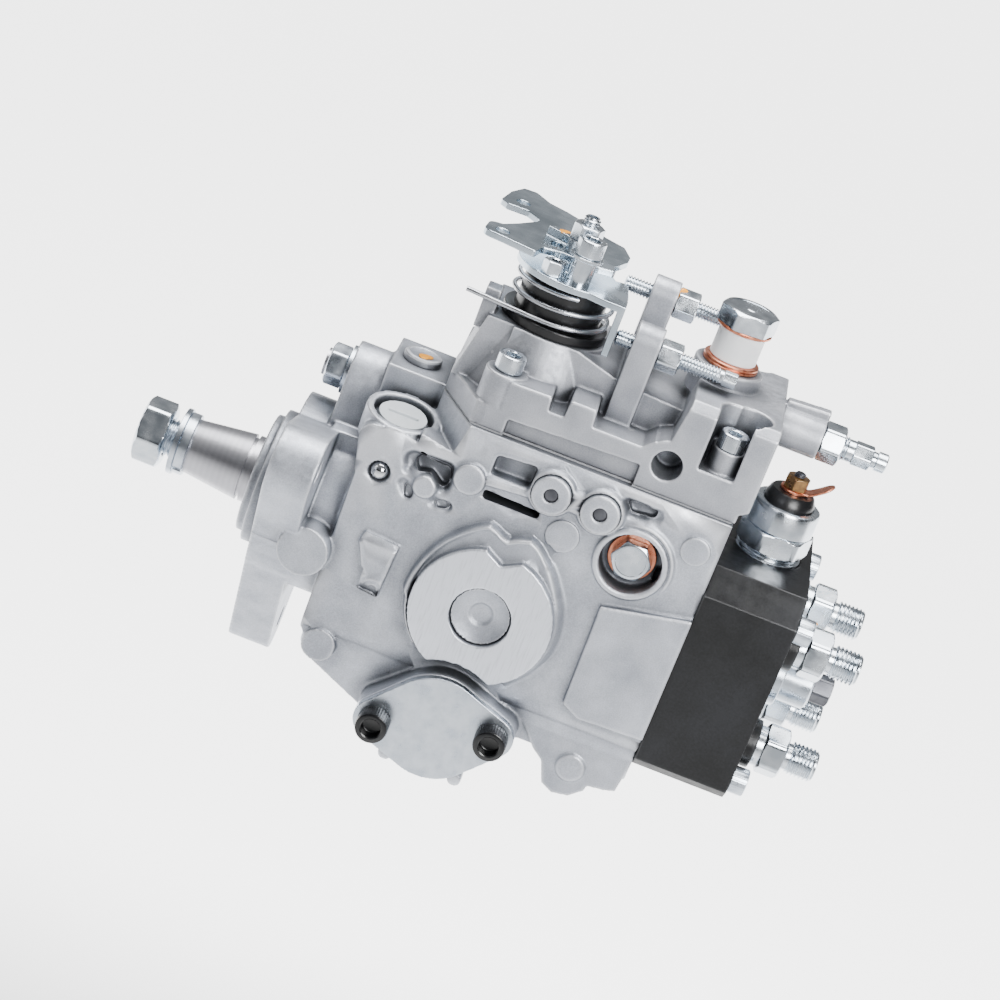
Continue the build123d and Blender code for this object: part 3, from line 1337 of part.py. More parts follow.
def lever_fasteners():
    """Nut with collar on the shaft, cap screw on its spacer and the hexagon stud."""
    collar_start = upper_plate_z + plate_t
    nut_start = collar_start + 5.1
    nut = cyl_z(5.5, collar_start, nut_start, throttle_x)
    nut += Pos(throttle_x, 0, 0) * prism_z(hexagon(10.0, 12), nut_start, nut_start + 6.0)
    nut -= cyl_z(throttle_stud_r + seat_fit, collar_start - 1, nut_start + 7, throttle_x)
    low = lower_plate_z + plate_t
    screw = cyl_z(4.3, low, low + 9.0) + cyl_z(5.8, low + 9.0, low + 10.2)
    screw += cyl_z(m6_head_r, low + 10.2, low + 16.2) - prism_z(hexagon(m6_socket_af), low + 12.8, low + 17)
    stud = prism_z(hexagon(7.5, 10), low, low + 5.1) - cyl_z(1.6, low + 2.0, low + 6)
    return nut, Pos(74.8, -12.0, 0) * screw, Pos(65.5, -13.6, 0) * stud


def spring_carrier():
    """Black drum that guides the return spring."""
    drum = cyl_z(carrier_flange_r, tower_top, tower_top + carrier_flange_t)
    drum += cyl_z(carrier_drum_r, tower_top, carrier_top)
    drum = Pos(throttle_x, 0, 0) * drum
    return drum - cyl_z(throttle_r + 0.3, tower_top - 1, carrier_top + 1, throttle_x)


def return_spring():
    """Torsion spring round the drum with one end on the cover's lug."""
    start = tower_top + carrier_flange_t + coil_wire_r + 0.05
    height = carrier_top - coil_wire_r - 0.6 - start
    coil = Pos(throttle_x, 0, start) * Rot(0, 0, 200) * coil_spring(coil_r, coil_wire_r, height, 2.5)
    return coil


def build():
    """Write every node."""
    save("drive_shaft", drive_shaft())
    save("shaft_key", shaft_key())
    save("shaft_nut", shaft_nut())
    save("shaft_washers", *shaft_washers())
    save("vane_rotor", vane_rotor())
    save("drive_gear", drive_gear())
    save("cross_disc", cross_disc())
    save("cam_plate", cam_plate())
    save("plunger", plunger())
    save("governor_cage", governor_cage())
    for number in (1, 2, 3, 4):
        save("flyweight_%d" % number, flyweight(number))
    save("governor_sleeve", governor_sleeve())
    save("governor_lever", governor_lever())
    save("governor_spring", governor_spring())
    save("spill_ring", spill_ring())
    ring, *rollers = roller_ring()
    save("roller_ring", ring + timer_pin(), *rollers)
    save("timer_piston", timer_piston())
    save("throttle_shaft", throttle_shaft())
    save("lower_lever", lower_lever())
    save("upper_lever", upper_lever())
    save("lever_fasteners", *lever_fasteners())
    save("spring_carrier", spring_carrier())
    save("return_spring", return_spring())
    save("solenoid_armature", solenoid_armature())
    save("pump_housing", pump_housing())
    save("shaft_bush", shaft_bush())
    save("seals", *seals())
    save("vane_ring", pump_ring())
    save("vane_pump_cover", pump_cover())
    save("governor_shaft", governor_shaft())
    save("governor_shaft_nut", governor_shaft_nut())
    save("timer_spring", timer_spring())
    save("timer_covers", *timer_covers())
    save("timer_screws", *timer_screws())
    bridge, *springs = plunger_return()
    save("spring_bridge", bridge)
    save("plunger_springs", *springs)
    save("hydraulic_head", hydraulic_head())
    save("head_screws", *head_screws())
    save("delivery_holders", *delivery_holders())
    save("delivery_valves", *delivery_valves())
    save("central_plug", central_plug())
    save("vent_bolt", vent_bolt())
    save("solenoid_body", solenoid_body())
    save("solenoid_insulator", solenoid_insulator())
    save("solenoid_terminal", solenoid_terminal())
    save("governor_cover", governor_cover())
    save("cover_gasket", cover_gasket())
    save("cover_screws", *cover_screws())
    save("adjuster_screws", *adjuster_screws())
    save("adjuster_lock_nuts", *adjuster_lock_nuts())
    save("banjo_bolt", banjo_bolt())
    save("copper_washers", *copper_washers())
    save("return_sleeve", return_sleeve())
    save("inlet_plug", inlet_plug())
    save("ball_plug", ball_plug())
    save("access_plug", access_plug())
    save("regulating_valve", regulating_valve())


os.makedirs("parts", exist_ok=True)
build()
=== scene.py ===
# %% [markdown]
# # A diesel injection pump
# The solids of this pump already exist as a CAD model. This lesson dresses them: the castings get
# soft edges, the fasteners get threads and turned corners, and every finish is mixed from nodes.
# Lengths in the code are millimetres and become metres in one place.

# %% Load the frame
import math
import bmesh
import bpy
import numpy as np
from mathutils import Matrix


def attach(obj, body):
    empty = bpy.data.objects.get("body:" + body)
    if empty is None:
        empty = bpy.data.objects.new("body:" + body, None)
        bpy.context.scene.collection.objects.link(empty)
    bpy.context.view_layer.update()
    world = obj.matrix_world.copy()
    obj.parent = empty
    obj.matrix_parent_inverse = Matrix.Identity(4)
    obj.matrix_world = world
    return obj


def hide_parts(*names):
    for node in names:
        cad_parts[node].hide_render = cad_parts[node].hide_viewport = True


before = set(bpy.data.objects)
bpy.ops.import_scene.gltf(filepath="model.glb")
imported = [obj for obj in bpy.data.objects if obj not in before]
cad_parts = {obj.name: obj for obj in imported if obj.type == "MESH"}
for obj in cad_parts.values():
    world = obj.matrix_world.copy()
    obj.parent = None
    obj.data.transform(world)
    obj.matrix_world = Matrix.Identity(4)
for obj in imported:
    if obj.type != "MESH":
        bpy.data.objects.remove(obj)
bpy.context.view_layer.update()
MM = 0.001
ROOT = "pump_body"

# %% [markdown]
# ## Camera
# The pump was photographed from its inlet side, from 22 degrees above, and the picture was turned
# so that the drive end rises to the left. A long lens a metre away keeps the edges nearly parallel.

# %% Camera
ELEVATION, ROLL, DISTANCE, LENS = 22.0, 21.2, 1.0, 100.8
AIM = np.array([77.0, 0.0, 23.5]) * MM


def camera_axes(elevation, roll):
    """Right, up and backward unit vectors of a camera that looks along +Y from above, then rolls."""
    e, r = math.radians(elevation), math.radians(roll)
    back = np.array([0.0, -math.cos(e), math.sin(e)])
    side, rise = np.array([1.0, 0.0, 0.0]), np.array([0.0, math.sin(e), math.cos(e)])
    return math.cos(r) * side + math.sin(r) * rise, math.cos(r) * rise - math.sin(r) * side, back


def add_camera():
    """Places the camera so that AIM is in the middle of the frame."""
    right, up, back = camera_axes(ELEVATION, ROLL)
    lens = bpy.data.cameras.new("camera")
    lens.lens, lens.sensor_width = LENS, 36.0
    camera = bpy.data.objects.new("camera", lens)
    turn = np.eye(4)
    turn[:3, 0], turn[:3, 1], turn[:3, 2], turn[:3, 3] = right, up, back, AIM + back * DISTANCE
    camera.matrix_world = Matrix(turn.tolist())
    bpy.context.collection.objects.link(camera)
    bpy.context.scene.camera = camera
    print("camera at", camera.matrix_world.translation)


add_camera()

# %% [markdown]
# ## Light
# The real picture has no hard shadow. Large area lights give that by themselves, where small lamps
# would need many copies: one soft box hangs above and one stands at each side. Their sizes decide how
# soft the highlights on the zinc are, and their powers stay low because the room gives light too.


# %% Light and floor
def soft_box(name, place, aim, size, power):
    """Square area light at a place in millimetres, turned towards aim."""
    lamp = bpy.data.lights.new(name, "AREA")
    lamp.shape, lamp.size, lamp.energy = "SQUARE", size * MM, power
    box = bpy.data.objects.new(name, lamp)
    away = np.array(place, float) - np.array(aim, float)
    away /= np.linalg.norm(away)
    side = np.cross([0.0, 0.0, 1.0] if abs(away[2]) < 0.95 else [0.0, 1.0, 0.0], away)
    side /= np.linalg.norm(side)
    turn = np.eye(4)
    turn[:3, 0], turn[:3, 1], turn[:3, 2] = side, np.cross(away, side), away
    turn[:3, 3] = np.array(place) * MM
    box.matrix_world = Matrix(turn.tolist())
    bpy.context.collection.objects.link(box)


# name, place, aim and edge in millimetres, power in watts
LIGHTS = (("top", (60, 60, 800), (90, 0, 20), 600, 14.0),
          ("left_high", (-650, -420, 520), (60, 0, 20), 380, 0.7),
          ("right_near", (330, -430, 250), (130, 0, 20), 260, 4.2))
for light in LIGHTS:
    soft_box(*light)
FLOOR, FLOOR_HALF = -300.0, 6000.0  # low enough to take no sharp shadow, wide enough to have no edge
QUADRANTS = ((1, 1), (-1, 1), (-1, -1), (1, -1))
floor_mesh = bpy.data.meshes.new("floor")
floor_mesh.from_pydata([(x * FLOOR_HALF * MM, y * FLOOR_HALF * MM, FLOOR * MM)
                        for x, y in QUADRANTS[2:] + QUADRANTS[:2]], [], [(0, 1, 2, 3)])
floor = bpy.data.objects.new("floor", floor_mesh)
bpy.context.collection.objects.link(floor)
print("lights", [light[0] for light in LIGHTS], "floor at", FLOOR)

# %% [markdown]
# ## One helper for all node trees
# A node is a kind, a few settings and what goes into its sockets. With one function for that, each
# material reads as a short list. Colours are written as the hex values a paint chart would show.


# %% Node helper
def linear(code, alpha=1.0):
    """Hex sRGB colour to linear: c / 12.92 below 0.04045, else ((c + 0.055) / 1.055) ** 2.4."""
    c = np.array([int(code[i:i + 2], 16) for i in (1, 3, 5)]) / 255.0
    return (*np.where(c <= 0.04045, c / 12.92, ((c + 0.055) / 1.055) ** 2.4), alpha)


def add(tree, kind, sockets=None, **settings):
    """Adds a node. sockets maps inputs to numbers, colours or the outputs that feed them."""
    made = tree.nodes.new(kind)
    for key, value in settings.items():
        setattr(made, key, value)
    for key, value in (sockets or {}).items():
        if isinstance(value, bpy.types.NodeSocket):
            tree.links.new(value, made.inputs[key])
        else:
            made.inputs[key].default_value = value
    return made


def new_material(name, metallic, roughness):
    """Empty material with a principled shader. Returns the material, its tree and the shader."""
    made = bpy.data.materials.new(name)
    made.use_nodes = True
    shader = made.node_tree.nodes["Principled BSDF"]
    shader.inputs["Metallic"].default_value = metallic
    shader.inputs["Roughness"].default_value = roughness
    return made, made.node_tree, shader


def per_mm(size):
    """Texture scale whose features are about size millimetres."""
    return 1.0 / (size * MM)


print("a grain of 0.45 mm has texture scale", round(per_mm(0.45)))

# %% [markdown]
# ## Room light and floor finish
# Plated metal shows the room more than its own colour. A picture of a studio could serve as the
# room, but a gradient needs no file and is easy to steer: dim at eye level, which draws dark edges on
# the nuts, and bright overhead and behind. The floor is matte paper that glows further back, as the
# lit sweep behind a product does.


# %% Room light


def world_light():
    """Room light: bright above and behind the pump, dim at eye level before it, pale below."""
    world = bpy.data.worlds.new("room")
    world.use_nodes = True
    tree = world.node_tree
    place = add(tree, "ShaderNodeTexCoord")
    axis = add(tree, "ShaderNodeSeparateXYZ", {0: place.outputs["Generated"]})
    rise = add(tree, "ShaderNodeMapRange", {0: axis.outputs["Z"], 1: -1.0, 2: 1.0})
    ramp = add(tree, "ShaderNodeValToRGB", {0: rise.outputs[0]})
    stops = ((0.0, "#9A9A9A"), (0.46, "#5A5A5C"), (0.56, "#38393B"), (0.7, "#A6A8AC"), (1.0, "#F4F4F4"))
    while len(ramp.color_ramp.elements) < len(stops):
        ramp.color_ramp.elements.new(0.5)
    for element, (at, colour) in zip(ramp.color_ramp.elements, stops):
        element.position, element.color = at, linear(colour)
    behind = add(tree, "ShaderNodeMapRange", {0: axis.outputs["Y"], 1: 0.15, 2: 0.85, 3: 0.0, 4: 0.9},
                 interpolation_type="SMOOTHSTEP")
    room = add(tree, "ShaderNodeMix", {0: behind.outputs[0], 6: ramp.outputs[0], 7: linear("#ECEEF0")},
               data_type="RGBA")
    tree.links.new(room.outputs[2], tree.nodes["Background"].inputs["Color"])
    tree.nodes["Background"].inputs["Strength"].default_value = 0.4
    bpy.context.scene.world = world
    print("room light", [at for at, _ in stops])


world_light()


# %% Floor finish
def floor_finish():
    """Matte white paper, bright behind the pump as on a lit sweep and dimmer towards the viewer."""
    made, tree, shader = new_material("white_paper", 0.0, 0.9)
    shader.inputs["Base Color"].default_value = linear("#E6E6E6")
    shader.inputs["Emission Color"].default_value = linear("#FFFFFF")
    place = add(tree, "ShaderNodeTexCoord").outputs["Object"]
    depth = add(tree, "ShaderNodeSeparateXYZ", {0: place}).outputs["Y"]
    lit = add(tree, "ShaderNodeMapRange", {0: depth, 1: -0.05, 2: 0.26, 3: 0.7, 4: 3.8},
              interpolation_type="SMOOTHSTEP")
    tree.links.new(lit.outputs[0], shader.inputs["Emission Strength"])
    return made


floor_mesh.materials.append(floor_finish())
print("floor finish", floor_mesh.materials[0].name)

# %% [markdown]
# ## Cast aluminium
# The housing is a pressure die casting that was blasted with fine grit. That gives an even light
# grey skin with a grain of a few tenths of a millimetre. Its edges are paler, partly rubbed metal and partly
# a painted highlight, and painted shade darkens its hollows. A photo texture would carry one
# fixed light with it, so the finish is mixed from nodes: pointiness finds the edges for the pale edges,
# occlusion finds the hollows for the painted shade, and noises give grain and soft blotches.


# %% Blasted castings
MILLED_FROM = 54.0  # the body's milled faces lie beyond this x, and the flange in front of it stays cast


def blasted(name, light, dark, roughness, grain=0.45, bump=0.05, metal=0.85, rubbed_and_highlit_edges=("#E6E7EA", 0.6),
            painted_shade_colour="#3C3E42", milled=None):
    """Blasted casting. grain is a feature size and bump a height, in millimetres. The edge colour and
    share give pale edges, partly rubbed metal and partly a painted highlight; the shade colour is the painted
    shade laid into hollows. On the body, beyond the plane y = milled, the skin is cut."""
    made, tree, shader = new_material(name, metal, roughness)
    place = add(tree, "ShaderNodeTexCoord").outputs["Object"]
    cloud = add(tree, "ShaderNodeTexNoise", {"Vector": place, "Scale": per_mm(16.0), "Detail": 4.0})
    sand = add(tree, "ShaderNodeTexNoise", {"Vector": place, "Scale": per_mm(grain), "Detail": 2.0})
    pits = add(tree, "ShaderNodeTexNoise", {"Vector": place, "Scale": per_mm(grain * 5), "Detail": 3.0})
    both = add(tree, "ShaderNodeMix", {0: 0.4, 2: cloud.outputs[0], 3: sand.outputs[0]}, data_type="FLOAT")
    spread = add(tree, "ShaderNodeMapRange", {0: both.outputs[0], 1: 0.36, 2: 0.64})
    tone = add(tree, "ShaderNodeMix", {0: spread.outputs[0], 6: linear(dark), 7: linear(light)},
               data_type="RGBA")
    # pale edges: pointiness lightens every convex edge, partly rubbed metal and partly a painted highlight
    shape = add(tree, "ShaderNodeNewGeometry")
    edge = add(tree, "ShaderNodeMapRange", {0: shape.outputs["Pointiness"], 1: 0.505, 2: 0.55, 4: rubbed_and_highlit_edges[1]})
    skin = add(tree, "ShaderNodeMix", {0: edge.outputs[0], 6: tone.outputs[2], 7: linear(rubbed_and_highlit_edges[0])},
               data_type="RGBA")
    rough = add(tree, "ShaderNodeMapRange", {0: pits.outputs[0], 1: 0.3, 2: 0.7, 3: roughness - 0.06,
                                             4: roughness + 0.08})
    mix = add(tree, "ShaderNodeMix", {0: 0.4, 2: sand.outputs[0], 3: pits.outputs[0]}, data_type="FLOAT")
    if milled is not None:
        parts = add(tree, "ShaderNodeSeparateXYZ", {0: place})
        deep = add(tree, "ShaderNodeMapRange", {0: parts.outputs["Y"], 1: milled * MM,
                                                2: (milled - 0.1) * MM})
        body = add(tree, "ShaderNodeMapRange", {0: parts.outputs["X"], 1: MILLED_FROM * MM,
                                                2: (MILLED_FROM + 0.5) * MM})
        cut = add(tree, "ShaderNodeMath", {0: deep.outputs[0], 1: body.outputs[0]}, operation="MULTIPLY")
        marks = add(tree, "ShaderNodeMapping", {"Vector": place, "Scale": (1.0, 1.0, 0.08),
                                                "Rotation": (0.0, 0.5, 0.0)})
        lines = add(tree, "ShaderNodeTexNoise", {"Vector": marks.outputs[0], "Scale": per_mm(0.7),
                                                 "Detail": 5.0})
        streak = add(tree, "ShaderNodeMapRange", {0: lines.outputs[0], 1: 0.3, 2: 0.5})
        bare = add(tree, "ShaderNodeMix", {0: streak.outputs[0], 6: linear("#D0D4DC"), 7: linear("#E2E6EE")},
                   data_type="RGBA")
        skin = add(tree, "ShaderNodeMix", {0: cut.outputs[0], 6: skin.outputs[2], 7: bare.outputs[2]},
                   data_type="RGBA")
        rough = add(tree, "ShaderNodeMix", {0: cut.outputs[0], 2: rough.outputs[0], 3: 0.36},
                    data_type="FLOAT")
        flat = add(tree, "ShaderNodeMath", {0: lines.outputs[0], 1: 0.15}, operation="MULTIPLY")
        mix = add(tree, "ShaderNodeMix", {0: cut.outputs[0], 2: mix.outputs[0], 3: flat.outputs[0]},
                  data_type="FLOAT")
    # painted shade: occlusion within 7 mm darkens the colour in hollows and creases towards the shade colour
    hollow = add(tree, "ShaderNodeAmbientOcclusion", {"Distance": 7.0 * MM}, samples=8)
    painted_shade = add(tree, "ShaderNodeMapRange", {0: hollow.outputs["AO"], 1: 0.4, 2: 0.98, 3: 0.88, 4: 0.0})
    final = add(tree, "ShaderNodeMix", {0: painted_shade.outputs[0], 6: skin.outputs[2], 7: linear(painted_shade_colour)},
                data_type="RGBA")
    tree.links.new(final.outputs[2], shader.inputs["Base Color"])
    tree.links.new(rough.outputs[0], shader.inputs["Roughness"])
    relief = add(tree, "ShaderNodeBump", {"Strength": 0.6, "Distance": bump * MM, "Height": mix.outputs[0]})
    tree.links.new(relief.outputs[0], shader.inputs["Normal"])
    return made


# the housing is pale and even, with bright scratched pads where a mill cut it
CAST = blasted("blasted_aluminium", "#C6CAD2", "#9DA1AA", 0.48, milled=-43.85)
# the cover is the same casting a shade darker, without milled faces
COVER = blasted("blasted_cover_aluminium", "#B8BAC0", "#94979E", 0.5)
# the head is blackened: nearly black and slightly rough, with a soft sheen. Its edges are pale, partly rubbed
# and partly a painted highlight, and painted shade lies in its hollows
BLACK = blasted("black_oxide_casting", "#1B1C1F", "#0B0C0D", 0.38, grain=0.9, bump=0.08, metal=0.3,
                rubbed_and_highlit_edges=("#6A6C70", 0.3),
                painted_shade_colour="#0C0C0D")
print("casting finishes", CAST.name, COVER.name, BLACK.name)

# %% [markdown]
# ## Plated and turned steel
# Nuts, screws and levers are zinc plated: bright, slightly blue, with a faint uneven film. Turned
# parts carry fine rings from the tool, as bands of a sine across the turning axis. Real rings are too
# fine to show at this size, so they are drawn wider. Anisotropy could give the same streaks of
# light, but it needs tangents that a remeshed piece doesn't have.


# %% Steel finishes
def plated(name, light, dark, roughness, film=5.0, scratch=0.35, bump=0.01):
    """Plated metal with an uneven film of the given size and fine streaks."""
    made, tree, shader = new_material(name, 1.0, roughness)
    place = add(tree, "ShaderNodeTexCoord").outputs["Object"]
    cloud = add(tree, "ShaderNodeTexNoise", {"Vector": place, "Scale": per_mm(film), "Detail": 5.0})
    fine = add(tree, "ShaderNodeTexNoise", {"Vector": place, "Scale": per_mm(scratch), "Detail": 3.0})
    spread = add(tree, "ShaderNodeMapRange", {0: cloud.outputs[0], 1: 0.35, 2: 0.65})
    tone = add(tree, "ShaderNodeMix", {0: spread.outputs[0], 6: linear(dark), 7: linear(light)},
               data_type="RGBA")
    tree.links.new(tone.outputs[2], shader.inputs["Base Color"])
    rough = add(tree, "ShaderNodeMapRange", {0: cloud.outputs[0], 1: 0.3, 2: 0.7, 3: roughness - 0.05,
                                             4: roughness + 0.1})
    tree.links.new(rough.outputs[0], shader.inputs["Roughness"])
    relief = add(tree, "ShaderNodeBump", {"Strength": 0.4, "Distance": bump * MM, "Height": fine.outputs[0]})
    tree.links.new(relief.outputs[0], shader.inputs["Normal"])
    return made


def turned_steel(name, light, dark, roughness, direction="X", ring=0.35, bump=0.006):
    """Turned metal: rings of the given spacing across one axis."""
    made, tree, shader = new_material(name, 1.0, roughness)
    place = add(tree, "ShaderNodeTexCoord").outputs["Object"]
    bands = add(tree, "ShaderNodeTexWave", {"Vector": place, "Scale": per_mm(ring) / 20, "Distortion": 0.6,
                                            "Detail": 2.0},
                wave_type="BANDS", bands_direction=direction)
    cloud = add(tree, "ShaderNodeTexNoise", {"Vector": place, "Scale": per_mm(6.0), "Detail": 4.0})
    mixed = add(tree, "ShaderNodeMix", {0: 0.8, 2: bands.outputs[1], 3: cloud.outputs[0]}, data_type="FLOAT")
    tone = add(tree, "ShaderNodeMix", {0: mixed.outputs[0], 6: linear(dark), 7: linear(light)},
               data_type="RGBA")
    tree.links.new(tone.outputs[2], shader.inputs["Base Color"])
    relief = add(tree, "ShaderNodeBump", {"Strength": 0.5, "Distance": bump * MM, "Height": bands.outputs[1]})
    tree.links.new(relief.outputs[0], shader.inputs["Normal"])
    return made


# bright and slightly blue, duller where a part was handled, palest on the pressed levers
ZINC = plated("zinc_plated_steel", "#DCE2E8", "#C4CCD4", 0.2, bump=0.004)
ZINC_DULL = plated("dull_zinc_steel", "#D2D9E1", "#B8C0CA", 0.28, bump=0.006)
LEVER_ZINC = plated("pale_zinc_plate", "#D5DFE8", "#B9C6D0", 0.22, film=14.0, bump=0.005)
# bare steels: grey with fine rings, dark and hard, drawn wire, and a mirror on the ball
GROUND = turned_steel("ground_steel", "#C2C2C7", "#A8A8AE", 0.36, bump=0.002)
HARD = plated("hardened_steel", "#6A6B70", "#55565B", 0.35)
WIRE = plated("spring_wire", "#C6C8CC", "#B0B2B7", 0.25, film=9.0, bump=0.002)
POLISHED = plated("polished_ball_steel", "#DADCE0", "#C4C6CA", 0.08)
# warm metals: rosy soft copper, brown bearing bronze, and the yellow skin of passivated zinc
COPPER = plated("soft_copper", "#E39A7C", "#C8775A", 0.3, film=2.5)
BRONZE = plated("bearing_bronze", "#C2985C", "#A57C45", 0.35)
PASSIVE = plated("yellow_passivated_zinc", "#C59A62", "#8A6A4E", 0.3, film=3.0)


# %% [markdown]
# ## Plastics and rubber
# The shipping plug and the return sleeve are white polyethylene, which lets a little light in. The
# spring drum, the screw caps and the seals are black, with a moulded skin that is slightly uneven.
# One function serves all: plastic differs in colour, gloss and how far light wanders in, not in kind.


# %% Plastic finishes
def moulded(name, light, dark, roughness, glow=0.0, bump=0.02):
    """Moulded plastic with a soft skin. glow is the share of light that wanders under the surface."""
    made, tree, shader = new_material(name, 0.0, roughness)
    place = add(tree, "ShaderNodeTexCoord").outputs["Object"]
    cloud = add(tree, "ShaderNodeTexNoise", {"Vector": place, "Scale": per_mm(4.0), "Detail": 3.0})
    fine = add(tree, "ShaderNodeTexNoise", {"Vector": place, "Scale": per_mm(0.6), "Detail": 2.0})
    tone = add(tree, "ShaderNodeMix", {0: cloud.outputs[0], 6: linear(dark), 7: linear(light)},
               data_type="RGBA")
    tree.links.new(tone.outputs[2], shader.inputs["Base Color"])
    shader.inputs["Subsurface Weight"].default_value = glow
    shader.inputs["Subsurface Radius"].default_value = (0.002, 0.002, 0.002)
    relief = add(tree, "ShaderNodeBump", {"Strength": 0.3, "Distance": bump * MM, "Height": fine.outputs[0]})
    tree.links.new(relief.outputs[0], shader.inputs["Normal"])
    return made


# the sleeve is white and slightly waxy; the plug is the same white plastic, glossier, and painted greyer as
# painted shade
WHITE = moulded("white_polyethylene", "#F1F2F2", "#E2E4E6", 0.42, glow=0.3)
PLUG = moulded("white_polyethylene_painted_shade", "#C9CED1", "#B6BCC0", 0.38, glow=0.1)
# glossy moulded black for drum and caps, dull rubber, and a dull pressed gasket
DRUM = moulded("black_polyamide", "#141416", "#0A0A0B", 0.3)
CAP = moulded("black_cap_plastic", "#111214", "#08090A", 0.25)
RUBBER = moulded("nitrile_rubber", "#1A1A1B", "#101011", 0.6)
FIBRE = moulded("pressed_gasket", "#A4A5A9", "#86888C", 0.7)
# a drop of warm yellow paint with a soft gloss
PAINT = moulded("yellow_check_paint", "#F5A623", "#E08F14", 0.35)
print("finishes", len(bpy.data.materials))

# %% [markdown]
# ## Soft castings
# A die casting has no sharp edge: metal runs round every corner of the mould. Bevelling a solid with
# hundreds of joined features tears it. A voxel remesh melts the same solid into one even skin, a few
# smoothing passes round its edges, and a decimate pass throws away what the flat parts don't need.


# %% Helpers for softened solids
def finish_piece(piece, material, body, nodes):
    """Gives a piece its finish, hangs it on the empty of the body that carries it and hides the nodes it
    stands for.
    """
    if not piece.data.materials:
        piece.data.materials.append(material)
    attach(piece, body)
    if nodes:
        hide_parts(*nodes)
    return piece


def merged_copy(name, node):
    """New object whose mesh is a node's mesh with doubled corners merged."""
    mesh = bpy.data.objects[node].data.copy()
    mesh.materials.clear()
    shape = bmesh.new()
    shape.from_mesh(mesh)
    bmesh.ops.remove_doubles(shape, verts=shape.verts, dist=0.002 * MM)
    shape.to_mesh(mesh)
    shape.free()
    mesh.name = name
    copy = bpy.data.objects.new(name, mesh)
    bpy.context.collection.objects.link(copy)
    return copy


def bake_modifiers(piece):
    """Replaces a piece's mesh with what its modifiers make of it."""
    graph = bpy.context.evaluated_depsgraph_get()
    made = bpy.data.meshes.new_from_object(piece.evaluated_get(graph))
    old = piece.data
    piece.modifiers.clear()
    piece.data = made
    bpy.data.meshes.remove(old)
    made.name = piece.name


def reshaped(piece, shape):
    """Moves a piece's points by a function of all points and normals, then melts its zone."""
    count = len(piece.data.vertices)
    points, normals = np.empty(count * 3, np.float32), np.empty(count * 3, np.float32)
    piece.data.vertices.foreach_get("co", points)
    piece.data.vertices.foreach_get("normal", normals)
    moved, zone = shape(points.reshape(-1, 3) / MM, normals.reshape(-1, 3))
    piece.data.vertices.foreach_set("co", (moved * MM).astype(np.float32).ravel())
    group = piece.vertex_groups.new(name="zone")
    group.add(np.flatnonzero(zone).tolist(), 1.0, "REPLACE")
    melt = piece.modifiers.new("melt_zone", "SMOOTH")
    melt.factor, melt.iterations, melt.vertex_group = 0.5, 12, "zone"
    bake_modifiers(piece)
    piece.vertex_groups.clear()


def softened(name, node, material, body, voxel, passes, faces, shape=None):
    """Node melted into one skin: voxel size in millimetres, smoothing passes, faces to keep, and a
    function that may move its points."""
    piece = merged_copy(name, node)
    melt = piece.modifiers.new("melt", "REMESH")
    melt.mode, melt.voxel_size = "VOXEL", voxel * MM * 1.0
    soften = piece.modifiers.new("soften", "SMOOTH")
    soften.factor, soften.iterations = 0.5, passes
    bake_modifiers(piece)
    if shape:
        reshaped(piece, shape)
    if len(piece.data.polygons) * 2 > faces:
        thin = piece.modifiers.new("thin", "DECIMATE")
        thin.ratio = faces / (len(piece.data.polygons) * 2)
        bake_modifiers(piece)
    piece.data.shade_smooth()
    print(name, "faces", len(piece.data.polygons))
    return finish_piece(piece, material, body, [node])


# %% [markdown]
# ## Relief of the visible side
# Between its main forms a die casting has low welts, collars and troughs, where the mould was cut
# with a round tool. They could be sculpted by hand, but numbers can be corrected one by one. So they
# are a height map over the side: x and z say where, and the height says how far the skin stands
# out. Hollows are made shallower and melted, as the real ones taper.

# %% Relief
SIDE, WIDE = 37.5, 41.0
PAD = (85.2, -2.7)
BOSSES = ((92.7, 48.2), (110.6, 48.1))
WINDOW = (126.6, 34.1)
TIMER = (84.0, -47.0, 27.0)  # centre and reach of the timing cylinder's boss, where the pad ends
BOW_TIE = (46.4, -9.2)  # centre of the arcs on the bow-tie plate's foot
PIN_MARKS = ((101.4, 34.5, 6.6), (145.6, 46.9, 5.8))  # centre and reach
TROUGHS = (  # from, to, half width and depth
    ((44.6, 40.6), (56.2, 41.0), 3.1, 4.5), ((56.2, 41.0), (57.2, 36.0), 2.0, 4.5),
    ((44.6, 40.6), (44.2, 37.4), 1.8, 4.0), ((43.8, 31.6), (46.4, 28.4), 1.5, 2.6),
    ((56.0, 28.9), (60.8, 29.2), 1.4, 2.6), ((118.6, 53.2), (124.5, 53.2), 2.6, 3.0),
    ((124.5, 53.2), (129.0, 53.8), 2.0, 1.6))
TAPERED = (  # x and z ranges, and the share of its depth that a hollow there keeps
    (40.0, 61.8, 25.8, 45.2, 0.7), (69.5, 86.8, 45.0, 56.4, 0.7), (115.8, 131.0, 49.0, 56.8, 1.0))
RIM = np.array([  # angle in degrees and radius of the wide pad's outline, seen from the pad's centre
    (-180, 28.4), (-176, 28.4), (-172, 27.4), (-60, 27.4), (-20, 27.4), (0, 27.5), (20, 27.6), (35, 28.1),
    (45, 28.8), (56, 30.3), (63, 31.2), (72, 33.0), (78, 33.6), (84, 32.0), (90.6, 29.8),
    (95, 30.5), (100, 32.5), (104, 33.7), (114.7, 32.3), (126, 31.0), (138, 29.9), (149, 28.9), (161, 28.4),
    (172.6, 28.4), (180, 28.4)])


def step(value, width):
    """Smooth step from 0 to 1 while value runs from -width / 2 to width / 2."""
    u = np.clip(value / width + 0.5, 0, 1)
    return u * u * (3 - 2 * u)


def bell(value, width):
    """Bell curve exp(-(v / w) ** 2)."""
    return np.exp(-(value / width) ** 2)


def to_segment(x, z, a, b):
    """Distance in the plane from points to the segment a b."""
    run = np.array(b) - np.array(a)
    share = np.clip(((x - a[0]) * run[0] + (z - a[1]) * run[1]) / (run @ run), 0, 1)
    return np.hypot(x - a[0] - share * run[0], z - a[1] - share * run[1])


